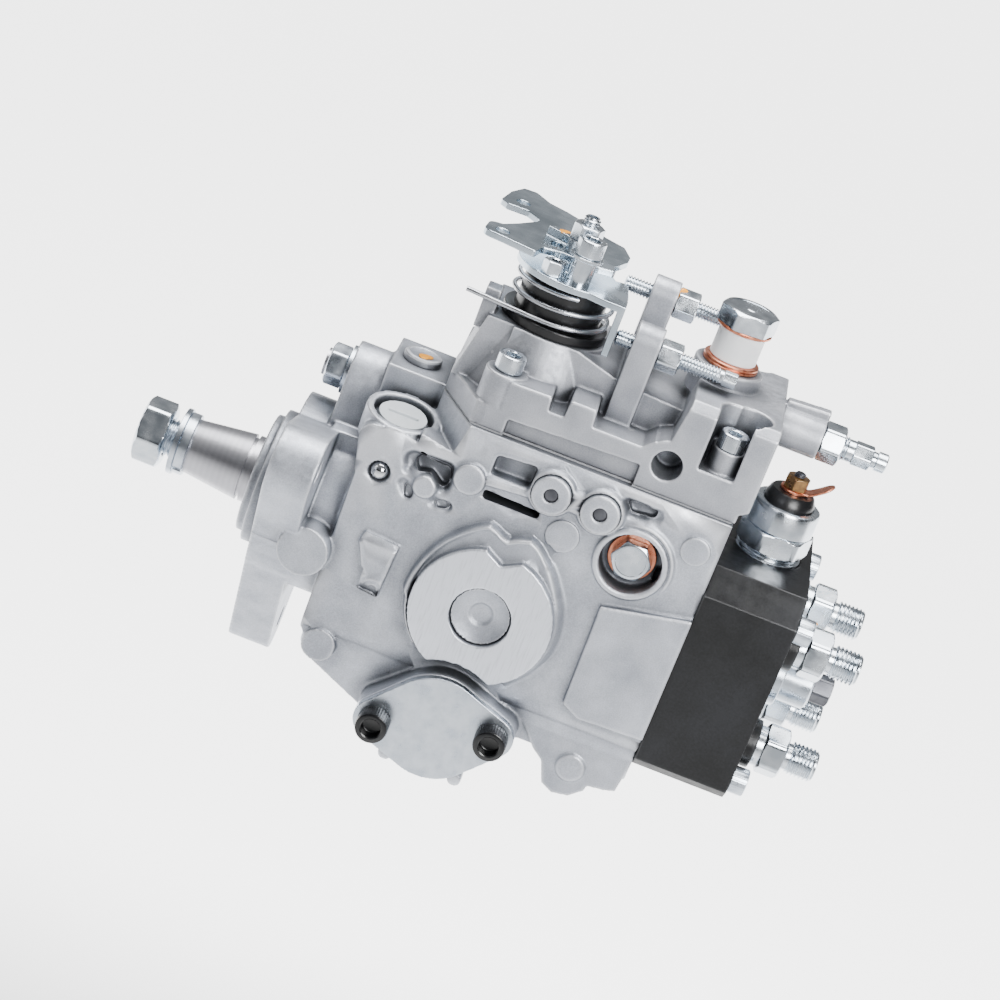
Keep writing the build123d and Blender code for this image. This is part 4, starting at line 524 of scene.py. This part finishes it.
def side_relief(points, normals):
    """Height map of the side: y becomes minus the height, which is a sum of smooth steps and bells
    over the distance to a centre, an outline or a segment."""
    x, y, z = points.T.astype(float)
    out = -y
    front = (normals[:, 1] < -0.3) & (out > SIDE - 0.6) & (out < 43.0)
    # wide pad: inside its outline the skin stands at WIDE, with a welt along the edge
    r, angle = np.hypot(x - PAD[0], z - PAD[1]), np.degrees(np.arctan2(z - PAD[1], x - PAD[0]))
    rim = np.interp(angle, RIM[:, 0], RIM[:, 1])
    clear = np.hypot(x - TIMER[0], z - TIMER[1]) > TIMER[2]
    zone = (r > 25.9) & (r < np.minimum(rim + 6.0, 34.9)) & (out > SIDE - 0.6) & (out < WIDE + 0.4) & clear
    right = step(50 - angle, 40) * step(angle + 120, 60)
    height = SIDE + (WIDE - SIDE) * step(rim - r, 1.4 + 1.8 * right) + 0.6 * bell(r - rim + 1.0, 0.8)
    out = np.where(zone, height, out)
    skirt = (right > 0.2) & (r > 26.1) & (r < 35.0) & (out < 42.5) & (out > SIDE - 0.6) & clear
    # dished pocket with a dimple
    pocket = (r < 10.5) & (normals[:, 1] < -0.6) & (out < 41.5) & (out > 38.0)
    dish = 40.1 + 2.4 * (r / 10.5) ** 2.5 - 0.7 * step(4.0 - r, 1.2)
    out = np.where(pocket, dish, out)
    # collars round the bracket bosses, the bridge between them and the bar to the left
    for cx, cz in BOSSES:
        collar = SIDE + 1.9 * step(8.4 - np.hypot(x - cx, z - cz), 1.2)
        out = np.where(front, np.maximum(out, collar), out)
    bridge = to_segment(x, z, *BOSSES)
    out = np.where(front, np.maximum(out, SIDE + 1.9 * step(4.1 - bridge, 1.6)), out)
    bar = to_segment(x, z, (70.1, 43.5), (86.6, 45.0))
    out = np.where(front, np.maximum(out, SIDE + 1.3 * step(1.5 - bar, 1.0)), out)
    # ridge round the window, on its upper right
    reach, bearing = np.hypot(x - WINDOW[0], z - WINDOW[1]), np.arctan2(z - WINDOW[1], x - WINDOW[0])
    bearing = np.degrees(bearing)
    ridge = 1.2 * bell(reach - 14.4, 0.9) * step(bearing + 20, 30) * step(105 - bearing, 30)
    out = np.where(front, np.maximum(out, SIDE + ridge), out)
    # bow-tie plate: a lower band along its top, no lower left point, a sloping foot with two arcs
    plate = (x > 34.5) & (x < 51.5) & (z > -13.5) & (z < 11.5) & (out > SIDE + 0.2) & (out < 40.6)
    out = np.where(plate & (z > 6.9), np.minimum(out, 38.8), out)
    out = np.where(plate & (x < 41.2) & (z < -2.5), SIDE + 0.1, out)
    reach, bearing = np.hypot(x - BOW_TIE[0], z - BOW_TIE[1]), np.arctan2(z - BOW_TIE[1], x - BOW_TIE[0])
    bearing = np.degrees(bearing)
    slope = 40.0 - 2.3 * step(-8.5 - z, 7.0)
    arcs = 0.45 * (bell(reach - 1.9, 0.5) + bell(reach - 3.8, 0.5))
    arcs = arcs * step(bearing + 20, 30) * step(175 - bearing, 30)
    out = np.where(plate & (x >= 41.2) & (z < -5.0) & front, np.minimum(out, slope) + arcs, out)
    # marks of the mould's pins stand out less, and hollows sink with soft walls round the round boss
    for cx, cz, size in PIN_MARKS:
        mark = (np.hypot(x - cx, z - cz) < size) & (out > SIDE + 0.1) & (out < SIDE + 2.3)
        out = np.where(mark, SIDE + (out - SIDE) * 0.35, out)
    for a, b, size, depth in TROUGHS:
        dug = SIDE - depth * step(size - to_segment(x, z, a, b), 1.6)
        dig = (dug < SIDE - 0.05) & (out > SIDE - 0.6) & (out < SIDE + 0.4)
        out = np.where(dig, np.minimum(out, dug), out)
    # hollows taper: their depth shrinks, and their zone is melted with the pad's right-hand slope
    melt = skirt.copy()
    for x0, x1, z0, z1, share in TAPERED:
        inside = (x > x0) & (x < x1) & (z > z0) & (z < z1)
        deep = inside & (out < SIDE) & (out > 27.0)
        out = np.where(deep, SIDE - (SIDE - out) * share, out)
        melt |= inside & (out < 39.3) & (out > 27.0)
    return np.stack([x, -out, z], -1), melt


print("wide pad outline", len(RIM), "points, troughs", len(TROUGHS))

# %% Housing, cover and head
softened("housing_casting", "pump_housing", CAST, ROOT, 0.55, 3, 190000, side_relief)
softened("cover_casting", "governor_cover", COVER, ROOT, 0.42, 3, 150000)
softened("head_casting", "hydraulic_head", BLACK, ROOT, 0.5, 4, 90000)

# %% [markdown]
# ## Turned surfaces
# Almost every fastener here came off a lathe or was rolled. Each is a stack of rings along one axis.
# A ring holds one radius for every direction, so the same stack can be round in one place, a
# hexagon in the next and a thread after that. Blender's Screw modifier turns a profile too, but it
# can't change from round to hexagon on the way.

# %% Ring surfaces
AROUND = 96
CHAMFER = 1.73  # a corner turned off at 30 degrees gains this much radius per millimetre of height
CENTRE, ALONG, FRONT = (0, 0, 0), (1, 0, 0), (0, -1, 0)


def directions(around=AROUND):
    """Angles of the columns, in radians."""
    return np.arange(around) * 2 * np.pi / around


def axes(axis):
    """Rows x', y', z' of a frame whose z' is the axis, and whose y' points up where it can."""
    z = np.array(axis, float) / np.linalg.norm(axis)
    y = np.array([0.0, 0.0, 1.0] if abs(z[2]) < 0.9 else [0.0, 1.0, 0.0])
    y -= z * (y @ z)
    y /= np.linalg.norm(y)
    return np.stack([np.cross(y, z), y, z])


def fans(count, rows, around):
    """Triangles from the last two of count points to the first and the last ring."""
    k = np.arange(around)
    return [np.stack([0 * k + centre, start + k, start + (k + 1) % around], -1)
            for centre, start in ((count - 2, 0), (count - 1, (rows - 1) * around))]


def turned(rings, origin, axis=(0, 0, 1), loop=False, around=AROUND):
    """Points r(u, t) * (cos t, sin t) at height h(u). Ends get a fan, or meet each other in a loop."""
    theta = directions(around)
    heights = np.array([height for height, _ in rings], float)
    radii = np.stack([np.broadcast_to(radius, around) for _, radius in rings]).astype(float)
    grid = np.stack([radii * np.cos(theta), radii * np.sin(theta), heights[:, None] + 0 * radii], -1)
    points, count = grid.reshape(-1, 3), len(heights)
    row, column = np.meshgrid(np.arange(count if loop else count - 1), np.arange(around), indexing="ij")
    a, b = row * around + column, row * around + (column + 1) % around
    c, d = ((row + 1) % count) * around + (column + 1) % around, ((row + 1) % count) * around + column
    faces = [np.stack([a, b, c, d], -1).reshape(-1, 4)]
    if not loop:
        points = np.vstack([points, [[0, 0, heights[0]], [0, 0, heights[-1]]]])
        faces += fans(len(points), count, around)
    return points @ axes(axis) + np.array(origin, float), faces


def hexagon(across, turn=0.0, around=AROUND):
    """Radius of a hexagon in each direction: a / 2 / cos of the angle to the nearest flat."""
    theta = directions(around) - math.radians(turn)
    radius = across / 2 / np.cos(theta % (np.pi / 3) - np.pi / 6)
    return np.minimum(radius, across / math.sqrt(3) - 0.02 * across)


def hex_block(start, end, across, turn=0.0, low=True, around=AROUND):
    """Rings of a hexagon whose corners are turned off, at the lower end too if low is set: the
    smaller of flat sides and a 30 degree cone."""
    flat, face = hexagon(across, turn, around), across / 2 * 0.95
    steps = np.array([0.0, 0.02, 0.04, 0.06, 0.08, 0.1, 0.125]) * across / 2
    rings = [(start + s, np.minimum(flat, face + s * CHAMFER)) for s in steps] if low else [(start, flat)]
    return rings + [(end - s, np.minimum(flat, face + s * CHAMFER)) for s in steps[::-1]]


def thread(start, end, radius, pitch, depth, around=AROUND, steps=7):
    """Rings of a thread: the radius dips by a clipped triangle wave that climbs one pitch per turn."""
    sign = 1 if end > start else -1
    heights = np.linspace(start, end, int(abs(end - start) / pitch * steps) + 2)
    wave = np.abs(2 * ((heights[:, None] / pitch - sign * directions(around) / (2 * np.pi)) % 1) - 1)
    dip = np.clip(wave * 1.5 - 0.25, 0, 1) * depth
    return list(zip(heights, radius - dip))


def knurl(radius, ridges, depth, around):
    """Radius with small ridges: depth times the absolute sine of half the ridge angle."""
    return radius - depth * np.abs(np.sin(directions(around) * ridges / 2))


def tube(path, radius, around=14):
    """Round wire along points: each ring lies square to the path, its first spoke carried forward."""
    path = np.asarray(path, float)
    along = np.gradient(path, axis=0)
    along /= np.linalg.norm(along, axis=1)[:, None]
    up = np.array([0.0, 0.0, 1.0]) if abs(along[0, 2]) < 0.9 else np.array([1.0, 0.0, 0.0])
    spokes = []
    for direction in along:
        up = up - direction * (up @ direction)
        up /= np.linalg.norm(up)
        spokes.append(up)
    spokes = np.array(spokes)
    third = np.cross(along, spokes)
    theta = directions(around)[None, :, None]
    points = path[:, None] + radius * (np.cos(theta) * spokes[:, None] + np.sin(theta) * third[:, None])
    count = len(path)
    row, column = np.meshgrid(np.arange(count - 1), np.arange(around), indexing="ij")
    a, b = row * around + column, row * around + (column + 1) % around
    faces = [np.stack([a, b, b + around, a + around], -1).reshape(-1, 4)]
    points = np.vstack([points.reshape(-1, 3), path[:1], path[-1:]])
    return points, faces + fans(len(points), count, around)


def build(name, groups, body, nodes=(), sharp=32.0):
    """One object from groups of (material, surfaces), with outward normals and edges sharp above
    an angle. A surface is its points and blocks of faces with equally many corners."""
    points, faces, index, offset = [], [], [], 0
    for number, (_, surfaces) in enumerate(groups):
        for corners, blocks in surfaces:
            points.append(corners)
            for block in blocks:
                faces += (block + offset).tolist()
                index += [number] * len(block)
            offset += len(corners)
    mesh = bpy.data.meshes.new(name)
    mesh.from_pydata((np.concatenate(points) * MM).tolist(), [], faces)
    mesh.polygons.foreach_set("material_index", index)
    shape = bmesh.new()
    shape.from_mesh(mesh)
    bmesh.ops.recalc_face_normals(shape, faces=shape.faces)
    shape.to_mesh(mesh)
    shape.free()
    mesh.shade_smooth()
    mesh.set_sharp_from_angle(angle=math.radians(sharp))
    for material, _ in groups:
        mesh.materials.append(material)
    piece = bpy.data.objects.new(name, mesh)
    bpy.context.collection.objects.link(piece)
    print(name, "faces", len(mesh.polygons))
    return finish_piece(piece, None, body, list(nodes))


print("ring columns", AROUND, "hexagon radii from", hexagon(10.0).min().round(2), "to",
      hexagon(10.0).max().round(2))

# %% [markdown]
# ## Drive end
# A tapered shaft takes the drive gear. Its nut has turned corners and a washer face, and its
# thread shows in front of the nut. The taper could be turned anew as well, but the CAD
# solid already has it right, so only its plain tip is cut off and a threaded one put there.


# %% Shaft, nut and washers
def cut_copy(name, node, at, axis):
    """Surface of a node without what lies beyond a plane, and with the cut closed."""
    piece = merged_copy(name, node)
    shape = bmesh.new()
    shape.from_mesh(piece.data)
    everything = shape.verts[:] + shape.edges[:] + shape.faces[:]
    cut = bmesh.ops.bisect_plane(shape, geom=everything, plane_co=np.array(at) * MM, plane_no=axis,
                                 clear_outer=True)
    rim = [part for part in cut["geom_cut"] if isinstance(part, bmesh.types.BMEdge)]
    bmesh.ops.contextual_create(shape, geom=rim)
    points = np.array([vertex.co[:] for vertex in shape.verts]) / MM
    faces = [np.array([[vertex.index for vertex in face.verts]]) for face in shape.faces]
    shape.free()
    bpy.data.objects.remove(piece)
    return points, faces


def washer(start, end, inner, outer, edge=0.15):
    """Rings of a flat washer with small chamfers outside."""
    return [(start, inner), (start, outer - edge), (start + edge, outer), (end - edge, outer),
            (end, outer - edge),
            (end, inner)]


NUT_TIP, NUT_END = -53.0, -42.4
tip = [(-52.9, 3.2), (-52.9, 6.0)] + thread(-52.9, -33.6, 6.95, 1.5, 0.85) + [(-33.4, 6.2)]
build("tapered_shaft", [(GROUND, [cut_copy("shaft_rest", "drive_shaft", (-33.5, 0, 0), (-1, 0, 0))]),
                        (ZINC_DULL, [turned(tip, CENTRE, ALONG)])], "drive",
                        ["drive_shaft"])
nut = hex_block(NUT_TIP, NUT_END, 22.0) + [(NUT_END, 8.0), (NUT_END - 0.8, 7.05), (NUT_TIP + 0.8, 7.05),
                                           (NUT_TIP, 8.0)]
build("tip_nut", [(ZINC, [turned(nut, CENTRE, ALONG, loop=True)])], "drive", ["shaft_nut"])
flat = turned(washer(-39.0, -37.1, 7.1, 12.4), CENTRE, ALONG, loop=True)
theta = directions()
# the spring washer is split: its ring shrinks to nothing at 215 degrees
gap = np.clip(np.abs(((theta - math.radians(215) + np.pi) % (2 * np.pi)) - np.pi) / 0.07, 0, 1)
spring = [(height, 7.1 + (radius - 7.1) * (0.02 + 0.98 * gap)) for height, radius in
          ((-37.1, 7.12), (-37.1, 11.3), (-36.8, 11.6), (-33.7, 11.6), (-33.4, 11.3), (-33.4, 7.12))]
build("tip_washers", [(ZINC_DULL, [flat, turned(spring, CENTRE, ALONG, loop=True)])], "drive",
      ["shaft_washers"])

# %% [markdown]
# ## Outlets
# Four holders carry the injection pipes. From the head outwards: a round collar, a hexagon, a short
# neck and an M12 thread with a cone inside its mouth. One stack of rings is turned four times. In
# the middle sits the plug that closes the plunger's bore, with the vent bolt in it.

# %% Outlet holders
OUTLET, CORNER = 20.3, 31.0  # the outlets and the head's screws, from the axis sideways and upwards
holder = [(180.0, 6.9), (193.0, 6.9), (193.0, 7.4), (195.5, 7.4)] + hex_block(195.5, 204.0, 17.0, 20)
holder += [(204.0, 5.2), (204.3, 4.9), (206.0, 4.9)] + thread(206.2, 215.2, 6.0, 1.5, 0.75)
holder += [(215.9, 5.1), (216.0, 4.9), (216.0, 3.7), (213.0, 1.6), (205.0, 1.5)]
build("outlet_holders", [(ZINC, [turned(holder, (0, y * OUTLET, z * OUTLET), ALONG) for y, z in QUADRANTS])],
      ROOT, ["delivery_holders"])

# %% Middle plug and vent bolt
plug = [(176.0, 7.1), (191.5, 7.1), (191.5, 11.7), (191.8, 12.0), (194.2, 12.0), (194.5, 11.7), (194.5, 9.6),
        (194.9, 9.3), (204.9, 9.3), (205.5, 8.7), (205.8, 8.2)]
build("middle_plug", [(ZINC_DULL, [turned(plug, CENTRE, ALONG)])], ROOT, ["central_plug"])
vent = [(198.0, 2.9), (205.85, 2.9)] + hex_block(205.85, 213.0, 10.0) + [(213.0, 2.0), (212.4, 1.8)]
build("vent_screw", [(HARD, [turned(vent, CENTRE, ALONG)])], ROOT, ["vent_bolt"])

# %% [markdown]
# ## Socket screws
# All M6 heads share one stack: a chamfered cylinder with fine ridges, a rounded rim and a hexagon
# socket. A boolean could cut the socket, but rings that turn inwards give it without a seam. The two
# front screws of the timing cover wear black caps with a deep round hole.

# %% Socket screws
RIDGES, FINE = 40, 160  # ridges of a knurl, and columns that can draw them
SHANK = 2.95


def socket_head(height, radius, across, depth, length, turn=0.0):
    """Rings of a knurled socket head on a plain shank, from the shank's end to the socket's floor."""
    side = knurl(radius, RIDGES, 0.05, FINE)
    six = hexagon(across, turn, FINE)
    return [(-length, SHANK), (-0.02, SHANK), (0.0, radius - 0.3), (0.4, side), (height - 0.7, side),
            (height - 0.25, radius - 0.12), (height, radius - 0.5), (height, across * 0.62),
            (height - 0.3, six),
            (height - depth, six), (height - depth - 0.6, across * 0.25)]


screws = [turned(socket_head(6.0, 5.0, 5.0, 3.2, 48.0), (188.5, y * CORNER, z * CORNER), ALONG, around=FINE)
          for y, z in QUADRANTS]
build("head_bolts", [(ZINC_DULL, screws)], ROOT, ["head_screws"])
screws = [turned(socket_head(6.0, 5.0, 5.0, 3.4, seat - 46.2, turn=20), (x, y, seat), around=FINE)
          for x, seat in ((63.5, 80.5), (143.5, 83.0)) for y in (-28.5, 31.2)]
build("cover_bolts", [(ZINC, screws)], ROOT, ["cover_screws"])
ribbed = knurl(5.9, RIDGES, 0.12, FINE)
cap = [(-14.0, SHANK), (-0.02, SHANK), (0.0, 5.4), (0.5, ribbed), (6.4, ribbed), (7.1, 5.6), (7.4, 5.1),
       (7.4, 4.0), (7.1, 3.6), (3.0, 3.5), (2.7, 3.0)]
places = ((63.7, -52.0), (104.3, -42.0))
caps = [turned(cap, (x, -48.3, z), FRONT, around=FINE) for x, z in places]
back = [turned(socket_head(6.0, 5.0, 5.0, 3.0, 14.0), (x, 48.3, z), (0, 1, 0), around=FINE) for x,
        z in places]
build("timer_bolts", [(CAP, caps), (ZINC_DULL, back)], ROOT, ["timer_screws"])

# %% [markdown]
# ## Stop solenoid
# A screwed-in can with a hexagon at its foot, a black insulator, and a threaded stud with nut. Under
# the nut lies a copper flange, and its tab is a flat sheet that bends up: a grid of points whose
# height rises with a power of the length, given its thickness by a modifier.

# %% Solenoid
SOLENOID = (172.0, 0, 0)
can = [(35.7, 11.4)] + thread(36.0, 44.0, 12.0, 1.5, 0.8) + [(44.5, 11.3)] + hex_block(44.5, 53.0, 24.0, 8)
can += [(53.0, 12.0), (53.2, 12.3), (61.2, 12.3), (62.1, 11.9), (62.5, 11.2), (62.5, 9.6), (62.2, 9.4)]
build("solenoid_can", [(ZINC, [turned(can, SOLENOID)])], ROOT, ["solenoid_body"])
seat = [(62.3, 9.2), (64.4, 9.1), (65.0, 8.7), (66.4, 8.2), (67.0, 7.6), (67.1, 6.0)]
build("terminal_insulator", [(DRUM, [turned(seat, SOLENOID)])], ROOT, ["solenoid_insulator"])
stud = [(67.1, 1.9)] + thread(67.3, 74.0, 2.0, 0.8, 0.35, around=48) + [(74.3, 1.5)]
nut = hex_block(68.1, 72.7, 8.0, 20)
build("terminal_stud", [(PASSIVE, [turned(nut, SOLENOID)]),
                        (COPPER, [turned(washer(67.12, 68.1, 2.0, 5.0), SOLENOID, loop=True)]),
                        (HARD, [turned(stud, SOLENOID, around=48)])],
      ROOT, ["solenoid_terminal"])
ROWS, COLUMNS = 24, 9
u, v = np.meshgrid(np.linspace(0, 1, ROWS), np.linspace(-1, 1, COLUMNS), indexing="ij")
length = 1.5 + 11.4 * u
rise = 67.9 + 0.5 * np.clip(length - 5, 0, 9) ** 1.2
half = 3.0 * np.sqrt(np.clip(1 - np.clip((length - 9.9) / 3.0, 0, 1) ** 2, 0.02, 1))
grid = np.stack([SOLENOID[0] + length, half * v, rise], -1).reshape(-1, 3)
row, column = np.meshgrid(np.arange(ROWS - 1), np.arange(COLUMNS - 1), indexing="ij")
a = (row * COLUMNS + column).ravel()
tab_faces = np.stack([a, a + 1, a + COLUMNS + 1, a + COLUMNS], -1)
tab = build("terminal_tab", [(COPPER, [(grid, [tab_faces])])], ROOT)
thick = tab.modifiers.new("thick", "SOLIDIFY")
thick.thickness, thick.offset = 0.7 * MM, 0.0
bake_modifiers(tab)

# %% [markdown]
# ## Return bolt
# A banjo bolt holds the hose eye; the new pump ships with a white sleeve there instead. Copper
# washers seal each face, so a thin red edge shows above and below the sleeve. The hexagon plug of the
# side window is sealed the same way and is made here too. Each washer is a ring stack that closes
# on itself, so that its hole is real.

# %% Return bolt, sleeve and washers
BANJO, ACCESS = (134.2, 0, 0), (WINDOW[0], -30.0, WINDOW[1])
head = [(94.0, 4.9), (116.8, 4.9), (116.8, 9.0)] + hex_block(116.85, 123.4, 19.0, 10, low=False)
head += [(123.4, 8.3), (123.15, 8.1), (123.15, 2.2), (123.3, 2.0)]
build("return_bolt", [(ZINC, [turned(head, BANJO)])], ROOT, ["banjo_bolt"])
sleeve = [(104.4, 5.1), (104.4, 8.1), (104.8, 8.5), (105.6, 8.4), (114.4, 8.4), (115.2, 8.5), (115.6, 8.1),
          (115.6, 5.1)]
build("white_sleeve", [(WHITE, [turned(sleeve, BANJO, loop=True)])], ROOT, ["return_sleeve"])
rings = [turned(washer(z, z + 1.18, 5.1, 10.0, 0.3), BANJO, loop=True) for z in (102.0, 103.2, 115.6)]
rings.append(turned(washer(0.0, 1.4, 4.1, 8.6, 0.3), ACCESS, FRONT, loop=True))
build("sealing_washers", [(COPPER, rings)], ROOT, ["copper_washers"])
access = [(-7.0, 3.9), (1.4, 3.9)] + hex_block(1.4, 6.4, 13.0) + [(6.4, 5.4), (6.2, 5.2)]
build("side_plug", [(ZINC, [turned(access, ACCESS, FRONT)])], ROOT, ["access_plug"])

# %% [markdown]
# ## Stop screws
# Two long screws stop the throttle lever, and a third sets full load. Each has a lock nut. The two
# threads get a pitch of 1.15 mm, coarser than the real 1 mm, because finer ones blur at this size.

# %% Stop screws and lock nuts
IDLE, FULL, LOAD = (0, -16.5, 101.8), (0, 12.0, 112.3), (0, 0, 88.3)
idle = [(93.6, 1.6), (93.9, 2.2)] + thread(94.2, 131.6, 3.0, 1.15, 0.6, around=64)
idle += [(131.8, 2.5), (132.8, 2.5)] + hex_block(132.8, 137.6, 5.2, around=64)
full = [(90.0, 1.6), (90.3, 2.2)] + thread(90.6, 128.8, 3.0, 1.15, 0.6, around=64)
full += [(129.0, 2.5), (129.5, 2.5)] + hex_block(129.5, 132.0, 5.2, around=64)
load = [(129.0, 3.6)] + thread(129.5, 183.0, 4.5, 1.0, 0.55) + [(183.3, 4.0), (185.6, 4.0)]
load += hex_block(185.6, 192.5, 8.0) + [(192.5, 3.0), (194.0, 2.9), (194.3, 3.6), (197.6, 3.6), (198.0, 3.2)]
build("setting_screws", [(ZINC, [turned(idle, IDLE, ALONG, around=64),
                                 turned(full, FULL, ALONG, around=64),
                                 turned(load, LOAD, ALONG)])], ROOT, ["adjuster_screws"])
lock = hex_block(109.2, 117.2, 10.0, 14) + [(117.2, 3.6), (116.8, 3.1), (109.6, 3.1), (109.2, 3.6)]
large = hex_block(173.5, 181.4, 13.0, 8) + [(181.4, 5.2), (181.0, 4.6), (174.0, 4.6), (173.5, 5.2)]
build("setting_nuts", [(ZINC, [turned(lock, IDLE, ALONG, loop=True),
                               turned(lock, FULL, ALONG, loop=True),
                               turned(large, LOAD, ALONG, loop=True)])],
      ROOT, ["adjuster_lock_nuts"])

# %% [markdown]
# ## Throttle lever
# Two pressed plates sit on the throttle shaft under a collared nut. Pressing leaves one edge rounded
# and the other sharp, so the plates are melted only a little. The drum under them and the covers of
# the timing cylinder are melted the same way. Screws, nut and spindle are turned.

# %% Plates, drum and covers
softened("pressed_upper_plate", "upper_lever", LEVER_ZINC, "throttle", 0.22, 2, 60000)
softened("pressed_lower_plate", "lower_lever", LEVER_ZINC, "throttle", 0.22, 2, 60000)
softened("spring_drum", "spring_carrier", DRUM, "throttle", 0.3, 2, 40000)
softened("timer_plates", "timer_covers", ZINC_DULL, ROOT, 0.3, 2, 70000)

# %% Shaft end, nut, cap screw and hexagon stud
SHAFT, SPACER = (72.0, 0, 0), (74.8, -12.0, 0)
shaft = [(74.0, 9.0), (78.0, 9.0), (78.0, 3.95), (111.0, 3.95), (111.0, 2.95), (119.0, 2.95)]
shaft += thread(119.5, 132.9, 3.0, 1.0, 0.5, around=64) + [(133.5, 2.4), (133.5, 1.7), (131.0, 1.6)]
build("throttle_spindle", [(ZINC, [turned(shaft, SHAFT, around=64)]),
                           (HARD, [turned([(69.0, 1.9), (74.2, 1.9)], (77.0, 0, 0), around=48)])],
      "throttle", ["throttle_shaft"])
nut = [(119.4, 3.1), (119.4, 5.3), (119.7, 5.5), (124.2, 5.5), (124.5, 5.2)]
nut += hex_block(124.5, 130.5, 10.0, 12) + [(130.5, 3.6), (130.1, 3.1)]
spacer = [(113.4, 2.9), (113.4, 4.3), (122.3, 4.3), (122.3, 2.9)]
cap_screw = [(height + 123.6, radius) for height, radius in socket_head(6.0, 5.0, 5.0, 3.4, 10.0)]
pillar = hex_block(113.4, 118.5, 7.5, 10) + [(118.5, 2.0), (118.2, 1.6), (115.4, 1.5)]
build("lever_hardware", [(ZINC, [turned(nut, SHAFT, loop=True),
                                 turned(spacer, SPACER, loop=True),
                                 turned(washer(122.35, 123.55, 3.0, 5.8), SPACER, loop=True),
                                 turned(cap_screw, SPACER, around=FINE),
                                 turned(pillar, (65.5, -13.6, 0))])], "throttle",
                                 ["lever_fasteners"])

# %% [markdown]
# ## Return spring
# A round wire winds up round the drum and ends in a straight arm in front of the lug. A curve with a
# bevel could draw it, but a helix worked out as points gives its radius, turns and rise exactly.

# %% Return spring
COIL_RADIUS, TURNS, COIL_LOW, COIL_HIGH = 17.6, 2.1, 97.3, 109.0
turn = np.linspace(0, 1, 300)
angle = np.radians(252) + turn * 2 * np.pi * TURNS
height = COIL_LOW + (COIL_HIGH - COIL_LOW) * turn
coil = np.stack([SHAFT[0] + COIL_RADIUS * np.cos(angle), COIL_RADIUS * np.sin(angle), height], -1)
tail = np.linspace((40.2, -16.0, 98.4), (62.5, -16.6, 97.4), 30)
build("return_coil", [(WIRE, [tube(np.vstack([tail, coil]), 0.9)])], ROOT, ["return_spring"])

# %% [markdown]
# ## Inlet side
# The fuel inlet is closed by a white slotted plug, and a steel ball seals a drilling near it. The
# regulating valve's cap and the governor axle's nut sit by the flange. The plug's slot is
# in its solid, which is only melted. The others are turned.

# %% Inlet plug, ball and valve cap
softened("slotted_plug", "inlet_plug", PLUG, ROOT, 0.2, 3, 30000)
BALL_RADIUS = 3.4
tilts = np.linspace(0, np.pi, 40)[1:-1]
ball = [(-BALL_RADIUS * math.cos(tilt), BALL_RADIUS * math.sin(tilt)) for tilt in tilts]
build("steel_ball", [(POLISHED, [turned(ball, (34.7, -35.3, 32.2), FRONT, around=64)])], ROOT,
      ["ball_plug"])
dome = [(56.0, 4.9), (60.2, 4.9), (60.2, 6.8), (60.4, 7.0), (62.2, 7.0), (62.8, 6.6), (63.0, 5.6),
        (62.6, 4.6)]
build("valve_dome", [(CAST, [turned(dome, (33.5, 5.0, 0))])], ROOT, ["regulating_valve"])
nut = [(2.6, 5.1)] + hex_block(2.6, 9.6, 14.0, 12) + [(9.6, 9.0), (11.0, 9.0), (11.0, 5.1)]
build("axle_nut", [(ZINC_DULL, [turned(nut, (0, 3.5, 47.87), ALONG, loop=True)])], ROOT,
      ["governor_shaft_nut"])

# %% [markdown]
# ## Bolt ends and check paint
# Two bolt ends show in the holes of the bracket bosses, and drops of yellow paint mark what was set
# on the test bench. Paint could be a mask in the finish, but a real drop stands proud of the metal,
# so each is a low dome whose outline wavers.

# %% Bolt ends and check paint
ends = [turned([(0.0, 2.3), (2.4, 2.42), (2.7, 2.2), (2.8, 1.6)], (x, -37.8, z), FRONT, around=48)
        for x, z in BOSSES]
build("bracket_bolt_ends", [(HARD, ends)], ROOT)


def dab(place, normal, size):
    """Drop of paint: a low dome whose outline wavers, r (1 + 0.2 sin 2t + 0.12 sin 3t)."""
    theta = directions(48)
    edge = size * (1 + 0.2 * np.sin(2 * theta) + 0.12 * np.sin(3 * theta))
    return turned([(-0.3, edge), (0.02, edge), (0.12, 0.93 * edge), (0.2, 0.6 * edge)], place, normal,
                  around=48)


build("lever_paint", [(PAINT, [dab((64.3, 8.0, 122.6), (0, 0, 1), 1.9),
                               dab((62.3, 7.4, 121.4), (-0.35, -1, 0), 1.3)])],
      "throttle")
build("body_paint", [(PAINT, [dab((109.9, 9.6, 116.4), (0.3, -0.7, 0.7), 2.2),
                              dab((34.2, 3.4, 62.85), (0, 0, 1), 2.4),
                              dab((193.2, -31.0, 35.5), (0, 0, 1), 1.5)])], ROOT)

# %% [markdown]
# ## Inner parts
# Gears, governor, cams and plunger can't be seen from outside, but the library shows them one by
# one, so each CAD solid gets its real finish. Dressing them up as well would cost triangles that no
# view shows.

# %% Finishes of carried-over nodes
CARRIED = {
    HARD: ("shaft_key", "cross_disc", "cam_plate", "governor_cage", "flyweight_1", "flyweight_2",
           "flyweight_3",
           "flyweight_4", "spring_bridge", "vane_ring", "roller_ring"),
    GROUND: ("vane_rotor", "drive_gear", "plunger", "spill_ring", "governor_sleeve", "timer_piston",
             "vane_pump_cover", "governor_shaft", "delivery_valves", "solenoid_armature"),
    ZINC_DULL: ("governor_lever",),
    WIRE: ("governor_spring", "timer_spring", "plunger_springs"),
    BRONZE: ("shaft_bush",), RUBBER: ("seals",), FIBRE: ("cover_gasket",)}
for material, nodes in CARRIED.items():
    for node in nodes:
        carried = bpy.data.objects[node]
        carried.data.materials.clear()
        carried.data.materials.append(material)
print("carried nodes", sum(len(nodes) for nodes in CARRIED.values()))
